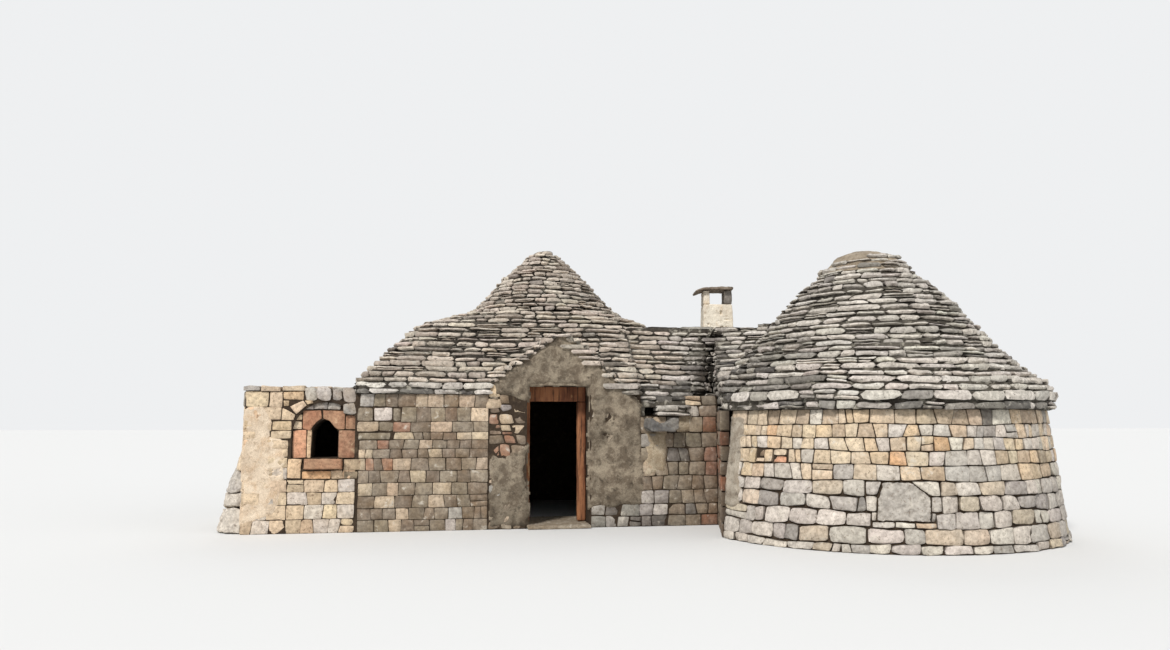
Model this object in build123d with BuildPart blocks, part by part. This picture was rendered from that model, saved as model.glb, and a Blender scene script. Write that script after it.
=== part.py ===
from build123d import *
import math
import os

os.makedirs("parts", exist_ok=True)

# A dry-stone trullo house: a door house under a hipped stone roof with a cone, a lower
# round trullo to its right, a link with the chimney between them and an oven wing at the
# left. Millimetres. X runs along the front, Y into the house, Z up, and the origin is on
# the ground in the middle of the doorway, on the plane of the front.

# door house
HOUSE_X0, HOUSE_X1 = -3000, 2450
HOUSE_DEPTH = 6000
WALL_H = 2000
ROOM_X0, ROOM_X1 = -1400, 1700
ROOM_Y0, ROOM_Y1 = 1200, 4800
ROOF_X, ROOF_Y = 150, 3000
DOOR_X0, DOOR_X1 = -480, 490
DOOR_H = 2140

# beds of the slab courses: thicker at the eaves, then one pitch to the top
COURSE_T = 66
LEVELS = [1680, 1750, 1865, 1945, 2000, 2075, 2140] + [2140 + COURSE_T * k for k in range(1, 41)]
HIP_TOP = LEVELS[6 + 21]
HOUSE_CAP_Z, ANNEX_CONE_Z, ANNEX_CAP_Z = LEVELS[6 + 34], LEVELS[6 + 3], LEVELS[6 + 25]

# hipped roof: each level is (z, x0, x1, y0, y1, corner radius)
EAVE_OUT, EAVE_T = 100, 140
HIP_LEVELS = [
    (WALL_H, HOUSE_X0 - EAVE_OUT, HOUSE_X1 + EAVE_OUT, -EAVE_OUT, HOUSE_DEPTH + EAVE_OUT, 250),
    (WALL_H + EAVE_T, HOUSE_X0 - EAVE_OUT, HOUSE_X1 + EAVE_OUT, -EAVE_OUT,
     HOUSE_DEPTH + EAVE_OUT, 250),
    (3250, -2150, 1900, 1100, 4900, 900),
    (HIP_TOP, ROOF_X - 1450, ROOF_X + 1450, ROOF_Y - 1450, ROOF_Y + 1450, 1380),
]

# low right end of the front, with the gutter and the outlet over it
VALLEY_X, VALLEY_H = 1290, 1680
OUTLET_X0, OUTLET_X1, OUTLET_H = 1340, 1560, 130
GAP_X0, GAP_X1 = 1995, 2860

# round trullo
ANNEX_X, ANNEX_Y = 4580, -1000
ANNEX_R_BASE, ANNEX_R_TOP, ANNEX_R_IN = 2580, 2370, 1550
ANNEX_WALL_H = 1750
CORNER_X, CORNER_Y = 2070, -1500
FLANK_X, FLANK_Y = 2520, 0

# link, hearth alcove and passage
LINK_X1, LINK_Y1 = 4750, 2950
ALCOVE_Y0, ALCOVE_Y1 = 1600, 2350
PASSAGE_X0, PASSAGE_X1 = 3450, 4150
PASSAGE_H = 1750
RIDGE_Y, RIDGE_Z, SADDLE_Y = 1200, 3180, -870
# ridge heights along the link, as (x, z)
LINK_RIDGE = [(HOUSE_X1, RIDGE_Z), (GAP_X1, 3100), (3750, 3310), (LINK_X1, 3310)]

# chimney
STACK_X, STACK_Y, STACK_TURN = 3105, 1700, -11.5
STACK_BASE, STACK_TOP = (600, 520), (510, 450)
STACK_Z, PIER_H = 3660, 250
PIER_LEFT, PIER_RIGHT = 120, 140
FLUE = 220

# oven wing
OVEN_X0, OVEN_DEPTH, OVEN_H = -4540, 2600, 2120
OVEN_FLOOR, OVEN_CAP_T = 1000, 90
MOUTH_X, MOUTH_W, MOUTH_Z0, MOUTH_SPRING, MOUTH_TOP = -3430, 380, 1070, 1430, 1630
ARCH_X, ARCH_R, ARCH_SPRING = -3455, 430, 1440
ARCH_SINK, OVEN_FACE_T = 60, 360

# outlines of the round roof outside and inside, as (radius, height)
ANNEX_ROOF = [(2460, 1750), (2510, 1950), (2400, 2120), (2100, 2340), (1980, 2450), (1600, 2870),
              (1150, 3400), (720, ANNEX_CAP_Z)]
CAP = [(720, ANNEX_CAP_Z), (450, 4080), (230, 4155), (0, 4180)]
DOME_LOW = [(1550, 1750), (1510, 2120), (1420, ANNEX_CONE_Z)]
DOME_HIGH = [(1420, ANNEX_CONE_Z), (1290, 2600), (1020, 2950), (650, 3300)]
DOME_TOP = [(650, 3300), (300, 3480), (0, 3520)]

# outlines of the house cone outside and of the dome under it
HOUSE_CONE = [(1450, HIP_TOP), (1180, 3780), (820, 4180), (620, HOUSE_CAP_Z), (300, 4690),
              (60, 4780)]
HOUSE_DOME = [(1550, 1900), (1550, 2000), (1500, 2400), (1360, 2850), (1120, 3250), (930, HIP_TOP)]
HOUSE_DOME_TOP = [(930, HIP_TOP), (600, 3800), (250, 3960), (0, 3990)]


def save(piece, node):
    """Label a finished piece and write it under its node's name."""
    piece.part.label = node
    export_step(piece.part, f"parts/{node}.step")
    return piece.part


def upright(x, y, angle):
    """A vertical plane through (x, y), its x pointing out at this angle and its y up."""
    a = math.radians(angle)
    return Plane(
        origin=(x, y, 0),
        x_dir=(math.cos(a), math.sin(a), 0),
        z_dir=(math.sin(a), -math.cos(a), 0),
    )


def mass(x0, x1, y0, y1, z0, z1, cuts=()):
    """A squared mass of masonry, less the solids in cuts."""
    with BuildPart() as body:
        with BuildSketch(Plane.XY.offset(z0)):
            with Locations(((x0 + x1) / 2, (y0 + y1) / 2)):
                Rectangle(x1 - x0, y1 - y0)
        extrude(amount=z1 - z0)
        for cut in cuts:
            add(cut, mode=Mode.SUBTRACT)
    return body


def turned(outline, x, y, start=0, sweep=360):
    """A closed outline of (radius, height) points turned about the vertical at (x, y)."""
    with BuildPart() as body:
        with BuildSketch(upright(x, y, start)):
            with BuildLine():
                Polyline(*outline, close=True)
            make_face()
        revolve(axis=Axis((x, y, 0), (0, 0, 1)), revolution_arc=sweep)
    return body


def at_height(outline, z):
    """The radius of an outline of (radius, height) points at height z."""
    for (r0, z0), (r1, z1) in zip(outline, outline[1:]):
        if z0 <= z <= z1:
            return r0 + (r1 - r0) * (z - z0) / (z1 - z0)
    return outline[-1][0]


def beds(bottom, top):
    """The (bottom, top) heights of the slab courses from one level to another."""
    return [(a, b) for a, b in zip(LEVELS, LEVELS[1:]) if bottom <= a and b <= top]


def stepped(outline, bottom, top):
    """The outline as corbelled courses: a riser and a tread for each, as (radius, height)."""
    steps = []
    for a, b in beds(bottom, top):
        radius = at_height(outline, (a + b) / 2)
        steps += [(radius, a), (radius, b)]
    return steps


def courses_under(plan, bottom, top, slopes, cuts=()):
    """Level courses over the plan polygon, each set back to where it meets the slopes.

    Every slope is a plane that looks up and out. A course ends on the slope's level line at
    the middle of its height."""
    with BuildPart() as body:
        for a, b in beds(bottom, top):
            with BuildSketch(Plane.XY.offset(a)) as course:
                with BuildLine():
                    Polyline(*plan, close=True)
                make_face()
                for slope in slopes:
                    n, o = slope.z_dir, slope.origin
                    flat = Vector(n.X, n.Y, 0)
                    back = n.Z * ((a + b) / 2 - o.Z) / flat.length
                    edge = Vector(o.X, o.Y, 0) - flat.normalized() * back
                    angle = math.degrees(math.atan2(flat.Y, flat.X))
                    with Locations(Location((edge.X, edge.Y, 0), (0, 0, angle))):
                        Rectangle(20000, 40000, align=(Align.MIN, Align.CENTER),
                                  mode=Mode.SUBTRACT)
            if course.sketch.area > 1:
                extrude(amount=b - a)
        for cut in cuts:
            add(cut, mode=Mode.SUBTRACT)
    return body


def cut_piece(body, cuts=(), planes=()):
    """The body less the solids in cuts, and only what lies behind each plane."""
    with BuildPart() as piece:
        add(body)
        for cut in cuts:
            add(cut, mode=Mode.SUBTRACT)
        for plane in planes:
            split(bisect_by=plane, keep=Keep.BOTTOM)
    return piece


# Shared forms
# The flank is the flat side of the round trullo, between its sharp front corner and
# the link. Its plane looks away from the drum.
flank_run = Vector(FLANK_X - CORNER_X, FLANK_Y - CORNER_Y, 0).normalized()
FLANK = Plane(origin=(CORNER_X, CORNER_Y, 0), z_dir=(-flank_run.Y, flank_run.X, 0))
FLANK_BACK = Plane(origin=(CORNER_X, CORNER_Y, 0), z_dir=(flank_run.Y, -flank_run.X, 0))

# The right edge of the house roof falls steeply into the gap before the chimney.
edge_foot = Vector(GAP_X0, -120, VALLEY_H + 120)
edge_run = Vector(GAP_X1, RIDGE_Y, LINK_RIDGE[1][1]) - edge_foot
across = Vector(edge_run.Y, -edge_run.X, 0).normalized()
steep = across * 0.26 + Vector(0, 0, -0.97)
GAP_EDGE = Plane(origin=edge_foot, z_dir=steep.cross(edge_run).normalized())
if GAP_EDGE.z_dir.X < 0:
    GAP_EDGE = -GAP_EDGE

# One slope runs from the sharp corner of the round trullo back to the rising ridge, and
# the link ends in a hip behind the cone.
ridge_left = Vector(LINK_RIDGE[1][0], RIDGE_Y, LINK_RIDGE[1][1])
ridge_right = Vector(LINK_RIDGE[2][0], RIDGE_Y, LINK_RIDGE[2][1])
corner_eave = Vector(CORNER_X, CORNER_Y, 1950)
saddle_up = (ridge_right - ridge_left).cross(ridge_left - corner_eave).normalized()
SADDLE = Plane(origin=ridge_left, z_dir=saddle_up if saddle_up.Z > 0 else -saddle_up)
HIP_END = Plane(origin=(3900, 0, 3310), z_dir=(1.2, 0, 1))

annex_steps = stepped(ANNEX_ROOF, ANNEX_WALL_H, ANNEX_CAP_Z)
annex_solid = turned([(0, 0), (ANNEX_R_BASE, 0), (ANNEX_R_TOP, ANNEX_WALL_H), *annex_steps,
                      *CAP], ANNEX_X, ANNEX_Y)
annex_form = cut_piece(annex_solid.part, planes=[FLANK]).part

passage_form = mass(PASSAGE_X0, PASSAGE_X1, -ALCOVE_Y0, ALCOVE_Y0, 0, PASSAGE_H).part
dome_form = turned([(0, 1900), *HOUSE_DOME, *HOUSE_DOME_TOP[1:]], ROOF_X, ROOF_Y).part
flue_form = mass(STACK_X - FLUE / 2, STACK_X + FLUE / 2, STACK_Y + 20 - FLUE / 2,
                 STACK_Y + 20 + FLUE / 2, 1500, 5000).part


# Round trullo walls
def annex_wall(node, start, stop, cuts=()):
    """One battered segment of the round wall, cut flat where the flank runs."""
    ring = turned([(ANNEX_R_IN, 0), (ANNEX_R_BASE, 0), (ANNEX_R_TOP, ANNEX_WALL_H),
                   (ANNEX_R_IN, ANNEX_WALL_H)], ANNEX_X, ANNEX_Y, start, stop - start)
    save(cut_piece(ring.part, cuts, [FLANK] if 120 < start < 200 else []), node)


annex_wall("annex_wall_flank", 130, 191)
annex_wall("annex_wall_front_left", 191, 246)
annex_wall("annex_wall_front_right", 246, 305)
annex_wall("annex_wall_right", 305, 375)
annex_wall("annex_wall_back_right", 15, 80)
annex_wall("annex_wall_back", 80, 130, [passage_form])


# Round trullo roof
# Each half ring is the stepped outline outside and the smooth dome inside.
def annex_ring(node, start, bottom, top, inside):
    """Half of the round roof between two levels, cut flat where the flank runs."""
    ring = turned([*stepped(ANNEX_ROOF, bottom, top), *reversed(inside)], ANNEX_X, ANNEX_Y,
                  start, 180)
    save(cut_piece(ring.part, planes=[FLANK] if bottom == ANNEX_WALL_H else []), node)


annex_ring("annex_eaves_front", 180, ANNEX_WALL_H, ANNEX_CONE_Z, DOME_LOW)
annex_ring("annex_eaves_back", 0, ANNEX_WALL_H, ANNEX_CONE_Z, DOME_LOW)
inside = [*DOME_HIGH, (650, ANNEX_CAP_Z)]
annex_ring("annex_cone_front", 180, ANNEX_CONE_Z, ANNEX_CAP_Z, inside)
annex_ring("annex_cone_back", 0, ANNEX_CONE_Z, ANNEX_CAP_Z, inside)
save(turned([*CAP, *reversed(DOME_TOP), (650, ANNEX_CAP_Z)], ANNEX_X, ANNEX_Y), "annex_cap")

# Door house walls
save(mass(HOUSE_X0, DOOR_X0, 0, ROOM_Y0, 0, WALL_H), "house_wall_front_left")

with BuildPart() as front_right:
    with BuildSketch(Plane.XZ.offset(-ROOM_Y0)):
        with BuildLine():
            Polyline((DOOR_X1, 0), (HOUSE_X1, 0), (HOUSE_X1, WALL_H - 50), (2120, WALL_H - 50),
                     (2120, VALLEY_H), (VALLEY_X, VALLEY_H), (VALLEY_X, WALL_H),
                     (DOOR_X1, WALL_H), close=True)
        make_face()
    extrude(amount=ROOM_Y0)
save(front_right, "house_wall_front_right")

save(mass(HOUSE_X0, ROOM_X0, ROOM_Y0, ROOM_Y1, 0, WALL_H), "house_wall_left")
save(mass(HOUSE_X0, HOUSE_X1, ROOM_Y1, HOUSE_DEPTH, 0, WALL_H), "house_wall_back")

# the wall towards the link, with the low way into the hearth alcove
with BuildPart() as wall_right:
    with BuildSketch(Plane.YZ.offset(ROOM_X1)):
        with BuildLine():
            Polyline((ROOM_Y0, 0), (ALCOVE_Y0, 0), (ALCOVE_Y0, PASSAGE_H),
                     (ALCOVE_Y1, PASSAGE_H), (ALCOVE_Y1, 0), (ROOM_Y1, 0), (ROOM_Y1, WALL_H),
                     (ROOM_Y0, WALL_H), close=True)
        make_face()
    extrude(amount=HOUSE_X1 - ROOM_X1)
save(wall_right, "house_wall_right")

# Gable over the door
# The wall ends a slab's thickness under the slopes, and the roof's courses run out over it.
GABLE_T = 500
GABLE = [(-1040, WALL_H), (-1040, 2180), (30, 2950), (500, 2670), (730, 2390), (1030, 2090),
         (VALLEY_X, 2010), (VALLEY_X, WALL_H)]

with BuildPart() as gable:
    with BuildSketch(Plane.XZ.offset(-GABLE_T)):
        with BuildLine():
            Polyline(*GABLE, close=True)
        make_face()
        with Locations(((DOOR_X0 + DOOR_X1) / 2, DOOR_H - 500)):
            Rectangle(DOOR_X1 - DOOR_X0, 1000, mode=Mode.SUBTRACT)
    extrude(amount=GABLE_T)
save(gable, "gable_wall")

# all that stands in front of the house roof here, the doorway's top included
with BuildPart() as gable_space:
    with BuildSketch(Plane.XZ.offset(-GABLE_T)):
        with BuildLine():
            Polyline(*GABLE, close=True)
        make_face()
    extrude(amount=GABLE_T + 500)

# Door house roof
# One course of the hipped roof is a rounded rectangle, set in a little from the one below.
def hip_plan(z):
    for low, high in zip(HIP_LEVELS, HIP_LEVELS[1:]):
        if low[0] <= z <= high[0]:
            t = (z - low[0]) / (high[0] - low[0])
            return [a + (b - a) * t for a, b in zip(low[1:], high[1:])]


# the back slope under the ridge that runs on from the shoulder to the chimney
RIDGE_BACK = Plane(origin=(0, RIDGE_Y, RIDGE_Z),
                   z_dir=(0, RIDGE_Z - 2150, LINK_Y1 + EAVE_OUT - RIDGE_Y))

with BuildPart() as hip:
    for a, b in beds(WALL_H, HIP_TOP):
        x0, x1, y0, y1, radius = hip_plan((a + b) / 2)
        with BuildSketch(Plane.XY.offset(a)):
            with Locations(((x0 + x1) / 2, (y0 + y1) / 2)):
                RectangleRounded(x1 - x0, y1 - y0, radius)
        extrude(amount=b - a)
    add(courses_under([(1500, RIDGE_Y), (HOUSE_X1, RIDGE_Y), (HOUSE_X1, LINK_Y1 + EAVE_OUT),
                       (1500, LINK_Y1 + EAVE_OUT)], WALL_H, LEVELS[6 + 16], [RIDGE_BACK]).part)

oven_space = mass(OVEN_X0, HOUSE_X0, -40, OVEN_DEPTH + 40, 0, OVEN_H).part
link_space = mass(HOUSE_X1, LINK_X1, -500, LINK_Y1 + EAVE_OUT, 0, 4000).part
valley_space = mass(VALLEY_X, LINK_X1, -500, ROOM_Y0, 0, 4000).part


def hip_side(node, x0, x1, y0, y1):
    """The part of the hipped roof that stands over one side of the house."""
    with BuildPart() as side:
        add(hip.part)
        with BuildSketch(Plane.XY.offset(WALL_H)):
            with Locations(((x0 + x1) / 2, (y0 + y1) / 2)):
                Rectangle(x1 - x0, y1 - y0)
        extrude(amount=2000, mode=Mode.INTERSECT)
        for cut in (dome_form, oven_space, gable_space.part, link_space, valley_space):
            add(cut, mode=Mode.SUBTRACT)
    save(side, node)


hip_side("roof_hip_left", -3500, ROOM_X0, -500, 6500)
hip_side("roof_hip_right", ROOM_X1, 3000, ROOM_Y0, 6500)
hip_side("roof_hip_front", ROOM_X0, ROOM_X1, -500, ROOF_Y)
hip_side("roof_hip_back", ROOM_X0, ROOM_X1, ROOF_Y, 6500)

def house_ring(node, start, sweep, bottom, top, inside):
    """Part of the house cone: corbelled courses outside, the smooth dome inside."""
    save(turned([*stepped(HOUSE_CONE, bottom, top), *inside], ROOF_X, ROOF_Y, start, sweep), node)


# the cap stands on the last course and runs down inside the ring to the dome
foot = (at_height(HOUSE_CONE, HOUSE_CAP_Z + COURSE_T / 2), HOUSE_CAP_Z)
rise = [foot, HOUSE_DOME_TOP[1], HOUSE_DOME_TOP[0]]
house_ring("house_cone_front", 180, 180, HIP_TOP, HOUSE_CAP_Z, rise)
house_ring("house_cone_back", 0, 180, HIP_TOP, HOUSE_CAP_Z, rise)
house_ring("house_cap", 0, 360, HOUSE_CAP_Z, LEVELS[-1], [(0, LEVELS[-1]),
                                                        *reversed(HOUSE_DOME_TOP[1:])])

# small pitched roof over the gable, which runs back into the main slope
GABLE_LEFT = [(-1040, WALL_H), (-1040, 2260), (30, 3030)]
GABLE_RIGHT = [(VALLEY_X, WALL_H), (VALLEY_X, 2050), (1030, 2170), (730, 2470), (500, 2750),
               (30, 3030)]
GABLE_OUT = 70
with BuildPart() as gable_roof:
    for a, b in beds(WALL_H, 3030):
        left, right = (at_height(side, (a + b) / 2) for side in (GABLE_LEFT, GABLE_RIGHT))
        with BuildSketch(Plane.XY.offset(a)):
            with Locations(((left + right) / 2, (1500 - GABLE_OUT) / 2)):
                Rectangle(right - left, 1500 + GABLE_OUT)
        extrude(amount=b - a)
    add(gable_space.part, mode=Mode.SUBTRACT)
    add(hip.part, mode=Mode.SUBTRACT)
save(gable_roof, "gable_roof")

# low slope at the right of the gable: its outlet over the gutter and its steep right edge
VALLEY_SLOPE = Plane(origin=(0, -120, VALLEY_H + 120),
                     z_dir=(0, VALLEY_H + 120 - RIDGE_Z, RIDGE_Y + 120))
valley_body = courses_under([(VALLEY_X, -120), (GAP_X1 + 300, -120), (GAP_X1 + 300, RIDGE_Y),
                             (VALLEY_X, RIDGE_Y)], VALLEY_H, LEVELS[6 + 16],
                            [VALLEY_SLOPE, GAP_EDGE])
with BuildPart() as valley:
    add(valley_body.part)
    with BuildSketch(Plane.XZ.offset(-450)):
        with Locations(((OUTLET_X0 + OUTLET_X1) / 2, VALLEY_H + OUTLET_H / 2)):
            Rectangle(OUTLET_X1 - OUTLET_X0, OUTLET_H)
    extrude(amount=800, mode=Mode.SUBTRACT)
    add(front_right.part, mode=Mode.SUBTRACT)
    with BuildSketch(Plane.XY):
        with Locations((HOUSE_X1 + 500, 500)):
            Rectangle(1000, 1400)
    extrude(amount=WALL_H, mode=Mode.SUBTRACT)
    split(bisect_by=FLANK_BACK, keep=Keep.BOTTOM)
save(valley, "roof_valley_right")

# Link
save(mass(HOUSE_X1, LINK_X1, 0, ALCOVE_Y0, 0, WALL_H, [annex_form, passage_form]),
     "link_wall_front")

# back and end of the alcove
with BuildPart() as link_wall_back:
    with BuildSketch(Plane.XY):
        with BuildLine():
            Polyline((HOUSE_X1, ALCOVE_Y1), (PASSAGE_X1, ALCOVE_Y1), (PASSAGE_X1, ALCOVE_Y0),
                     (LINK_X1, ALCOVE_Y0), (LINK_X1, LINK_Y1), (HOUSE_X1, LINK_Y1), close=True)
        make_face()
    extrude(amount=WALL_H)
save(link_wall_back, "link_wall_back")



# the front slope with the saddle of slabs between the flank and the cone
saddle = courses_under([(CORNER_X, SADDLE_Y), (ANNEX_X, SADDLE_Y), (LINK_X1, 0),
                        (LINK_X1, RIDGE_Y), (CORNER_X, RIDGE_Y)], WALL_H, LEVELS[6 + 18],
                       [SADDLE, HIP_END], [annex_form])
link_front = save(cut_piece(saddle.part, planes=[FLANK]), "link_roof_front")

# the back slope under the rising ridge, with the flue through it
def back_plan(z):
    """Plan of the back slope at height z: the ridge line and the level line behind it."""
    run, behind = [], LINK_Y1 + EAVE_OUT - RIDGE_Y
    for (xa, za), (xb, zb) in zip(LINK_RIDGE, LINK_RIDGE[1:]):
        for x, height in ((xa, za), (xb, zb)):
            if height > z:
                run.append((x, RIDGE_Y + behind * (height - z) / (height - 2150)))
            elif max(za, zb) > z:
                run.append((xa + (xb - xa) * (z - za) / (zb - za), RIDGE_Y))
    return sorted(set((round(x, 1), round(y, 1)) for x, y in run))


with BuildPart() as back_form:
    for a, b in beds(WALL_H, LEVELS[6 + 17]):
        with BuildSketch(Plane.XY.offset(a)):
            line = back_plan(max((a + b) / 2, 2150))
            with BuildLine():
                Polyline((line[0][0], RIDGE_Y), *[q for q in line if q[1] > RIDGE_Y],
                         (line[-1][0], RIDGE_Y), close=True)
            make_face()
        extrude(amount=b - a)
    for cut in (annex_form, flue_form):
        add(cut, mode=Mode.SUBTRACT)
    back_cut = courses_under([(HOUSE_X1, RIDGE_Y), (LINK_X1, RIDGE_Y),
                              (LINK_X1, LINK_Y1 + EAVE_OUT), (HOUSE_X1, LINK_Y1 + EAVE_OUT)],
                             WALL_H, LEVELS[6 + 18], [HIP_END])
    add(back_cut.part, mode=Mode.INTERSECT)
link_back = save(back_form, "link_roof_back")

# Chimney
STACK = Plane(origin=(STACK_X, STACK_Y, 0)).rotated((0, 0, STACK_TURN))

with BuildPart() as stack:
    with BuildSketch(STACK.offset(2600)):
        Rectangle(*STACK_BASE)
    with BuildSketch(STACK.offset(STACK_Z)):
        Rectangle(*STACK_TOP)
    loft()
    for cut in (link_front, link_back, flue_form, valley.part):
        add(cut, mode=Mode.SUBTRACT)
save(stack, "chimney_stack")

with BuildPart() as piers:
    half = STACK_TOP[0] / 2
    with BuildSketch(STACK.offset(STACK_Z)):
        with Locations((PIER_LEFT / 2 - half, 0)):
            Rectangle(PIER_LEFT, STACK_TOP[1] - 40)
        with Locations((half - PIER_RIGHT / 2, 0)):
            Rectangle(PIER_RIGHT, STACK_TOP[1] - 40)
    extrude(amount=PIER_H)
save(piers, "chimney_piers")

# the cover slab is bent down at its left end
with BuildPart() as cover:
    with BuildSketch(Plane(STACK.origin, x_dir=STACK.x_dir, z_dir=-STACK.y_dir)
                     .offset(STACK_TOP[1] / 2 + 75)):
        with BuildLine():
            top = STACK_Z + PIER_H
            Polyline((-255, top), (255, top), (275, top + 8), (275, top + 50), (60, top + 58),
                     (-260, top + 46), (-405, top - 8), (-400, top - 48), (-300, top - 12),
                     close=True)
        make_face()
    extrude(amount=-560)
    fillet(cover.edges().filter_by(Axis.Z), 60)
save(cover, "chimney_cover")

# Oven wing
save(mass(OVEN_X0, HOUSE_X0, 0, OVEN_DEPTH, 0, OVEN_FLOOR), "oven_base")
save(mass(OVEN_X0 - 40, HOUSE_X0, -40, OVEN_DEPTH + 40, OVEN_H - OVEN_CAP_T, OVEN_H),
     "oven_cap_slabs")

chamber_form = turned([(0, OVEN_FLOOR), (780, OVEN_FLOOR), (780, 1150), (720, 1360),
                       (560, 1560), (300, 1690), (0, 1730)], MOUTH_X - 20, 1350).part

with BuildPart() as mouth:
    with BuildSketch(Plane.XZ.offset(-900)):
        with BuildLine():
            left, right = MOUTH_X - MOUTH_W / 2, MOUTH_X + MOUTH_W / 2
            Polyline((left, MOUTH_SPRING), (left, MOUTH_Z0), (right, MOUTH_Z0),
                     (right, MOUTH_SPRING))
            ThreePointArc((right, MOUTH_SPRING), (MOUTH_X + 120, 1560), (MOUTH_X, MOUTH_TOP))
            ThreePointArc((MOUTH_X, MOUTH_TOP), (MOUTH_X - 120, 1560), (left, MOUTH_SPRING))
        make_face()
    extrude(amount=1400)

# space of the sunk face under the relieving arch
with BuildPart() as face:
    with BuildSketch(Plane.XZ.offset(-OVEN_FACE_T)):
        with BuildLine():
            Polyline((ARCH_X - ARCH_R, ARCH_SPRING), (ARCH_X - ARCH_R, OVEN_FLOOR),
                     (HOUSE_X0, OVEN_FLOOR), (HOUSE_X0, ARCH_SPRING + 210))
            ThreePointArc((HOUSE_X0, ARCH_SPRING + 210), (ARCH_X, ARCH_SPRING + ARCH_R),
                          (ARCH_X - ARCH_R, ARCH_SPRING))
        make_face()
    extrude(amount=2 * OVEN_FACE_T)

save(mass(OVEN_X0, HOUSE_X0, 0, OVEN_DEPTH, OVEN_FLOOR, OVEN_H - OVEN_CAP_T,
          [chamber_form, mouth.part, face.part]), "oven_wall")


def oven_face(node, z0, z1):
    """One course of the sunk face round the oven mouth, under the relieving arch."""
    with BuildPart() as course:
        add(face.part)
        with BuildSketch(Plane.XY.offset(z0)):
            with Locations(((OVEN_X0 + HOUSE_X0) / 2, (ARCH_SINK + OVEN_FACE_T) / 2)):
                Rectangle(HOUSE_X0 - OVEN_X0, OVEN_FACE_T - ARCH_SINK)
        extrude(amount=z1 - z0, mode=Mode.INTERSECT)
        add(mouth.part, mode=Mode.SUBTRACT)
    save(course, node)


oven_face("oven_bed", OVEN_FLOOR, MOUTH_Z0)
oven_face("oven_jambs", MOUTH_Z0, 1450)
oven_face("oven_lintel", 1450, 1900)
save(mass(MOUTH_X - 270, MOUTH_X + 270, -120, 0, 910, 1060), "oven_sill")

# rock buttress at the foot of the left end
with BuildPart() as buttress:
    with BuildSketch(Plane.XY):
        with BuildLine():
            Polyline((OVEN_X0, 40), (OVEN_X0 - 250, 90), (OVEN_X0 - 420, 350),
                     (OVEN_X0 - 400, 800), (OVEN_X0 - 180, 1120), (OVEN_X0, 1150), close=True)
        make_face()
    with BuildSketch(Plane.XY.offset(620)):
        with BuildLine():
            Polyline((OVEN_X0, 60), (OVEN_X0 - 180, 110), (OVEN_X0 - 290, 350),
                     (OVEN_X0 - 270, 720), (OVEN_X0 - 120, 980), (OVEN_X0, 1000), close=True)
        make_face()
    with BuildSketch(Plane.XY.offset(1200)):
        with BuildLine():
            Polyline((OVEN_X0, 120), (OVEN_X0 - 50, 150), (OVEN_X0 - 80, 350),
                     (OVEN_X0 - 70, 560), (OVEN_X0 - 40, 700), (OVEN_X0, 720), close=True)
        make_face()
    loft(ruled=True)
save(buttress, "oven_buttress")

# The door
THRESHOLD_H, FRAME_Y0, FRAME_Y1, HEAD_Z = 60, 350, 470, 1900
save(mass(DOOR_X0, DOOR_X1, -150, ROOM_Y0, 0, THRESHOLD_H), "door_threshold")

with BuildPart() as posts:
    with BuildSketch(Plane.XY.offset(THRESHOLD_H)):
        with Locations((DOOR_X0 + 45, (FRAME_Y0 + FRAME_Y1) / 2)):
            Rectangle(90, FRAME_Y1 - FRAME_Y0)
        with Locations((DOOR_X1 - 70, (FRAME_Y0 + FRAME_Y1) / 2)):
            Rectangle(140, FRAME_Y1 - FRAME_Y0)
    extrude(amount=HEAD_Z - THRESHOLD_H)
save(posts, "door_posts")
save(mass(DOOR_X0, DOOR_X1, FRAME_Y0, FRAME_Y1, HEAD_Z, DOOR_H), "door_header")

# stone gutter under the outlet, hollowed along its top
with BuildPart() as gutter:
    with BuildSketch(Plane.XZ):
        with BuildLine():
            Polyline((1420, 1650), (1340, 1640), (1320, 1500), (1380, 1440), (1760, 1440),
                     (1830, 1490), (1820, 1640), (1740, 1650))
            ThreePointArc((1740, 1650), (1580, 1575), (1420, 1650))
        make_face()
    extrude(amount=280)
save(gutter, "gutter_stone")
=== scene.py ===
import functools
import math

import bmesh
import bpy
import numpy as np
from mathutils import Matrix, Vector, noise
from mathutils.bvhtree import BVHTree


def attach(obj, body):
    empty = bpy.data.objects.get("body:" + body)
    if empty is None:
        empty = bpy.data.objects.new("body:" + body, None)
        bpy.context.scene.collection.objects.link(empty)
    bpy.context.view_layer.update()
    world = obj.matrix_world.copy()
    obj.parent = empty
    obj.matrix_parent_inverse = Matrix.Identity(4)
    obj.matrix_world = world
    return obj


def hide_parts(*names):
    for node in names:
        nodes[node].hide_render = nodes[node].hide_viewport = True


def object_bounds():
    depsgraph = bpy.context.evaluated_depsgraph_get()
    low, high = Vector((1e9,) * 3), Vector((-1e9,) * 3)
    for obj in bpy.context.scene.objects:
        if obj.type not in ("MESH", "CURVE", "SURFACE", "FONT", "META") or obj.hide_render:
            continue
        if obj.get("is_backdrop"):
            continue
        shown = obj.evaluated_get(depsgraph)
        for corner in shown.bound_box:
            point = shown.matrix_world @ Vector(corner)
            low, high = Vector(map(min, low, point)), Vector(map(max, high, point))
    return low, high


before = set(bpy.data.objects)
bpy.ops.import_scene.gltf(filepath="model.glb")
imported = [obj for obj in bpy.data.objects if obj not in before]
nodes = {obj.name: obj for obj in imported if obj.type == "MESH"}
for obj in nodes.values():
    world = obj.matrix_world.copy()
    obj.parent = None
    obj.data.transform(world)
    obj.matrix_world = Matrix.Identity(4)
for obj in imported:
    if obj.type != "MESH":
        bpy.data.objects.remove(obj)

# A dry-stone trullo house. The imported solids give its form. This script lays the stones:
# slabs in level courses round the roofs and blocks in courses up the walls. Metres.
cad_low, cad_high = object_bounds()
CENTRE = (4.58, -1.0)  # of the round trullo
UP = Vector((0, 0, 1))


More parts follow.
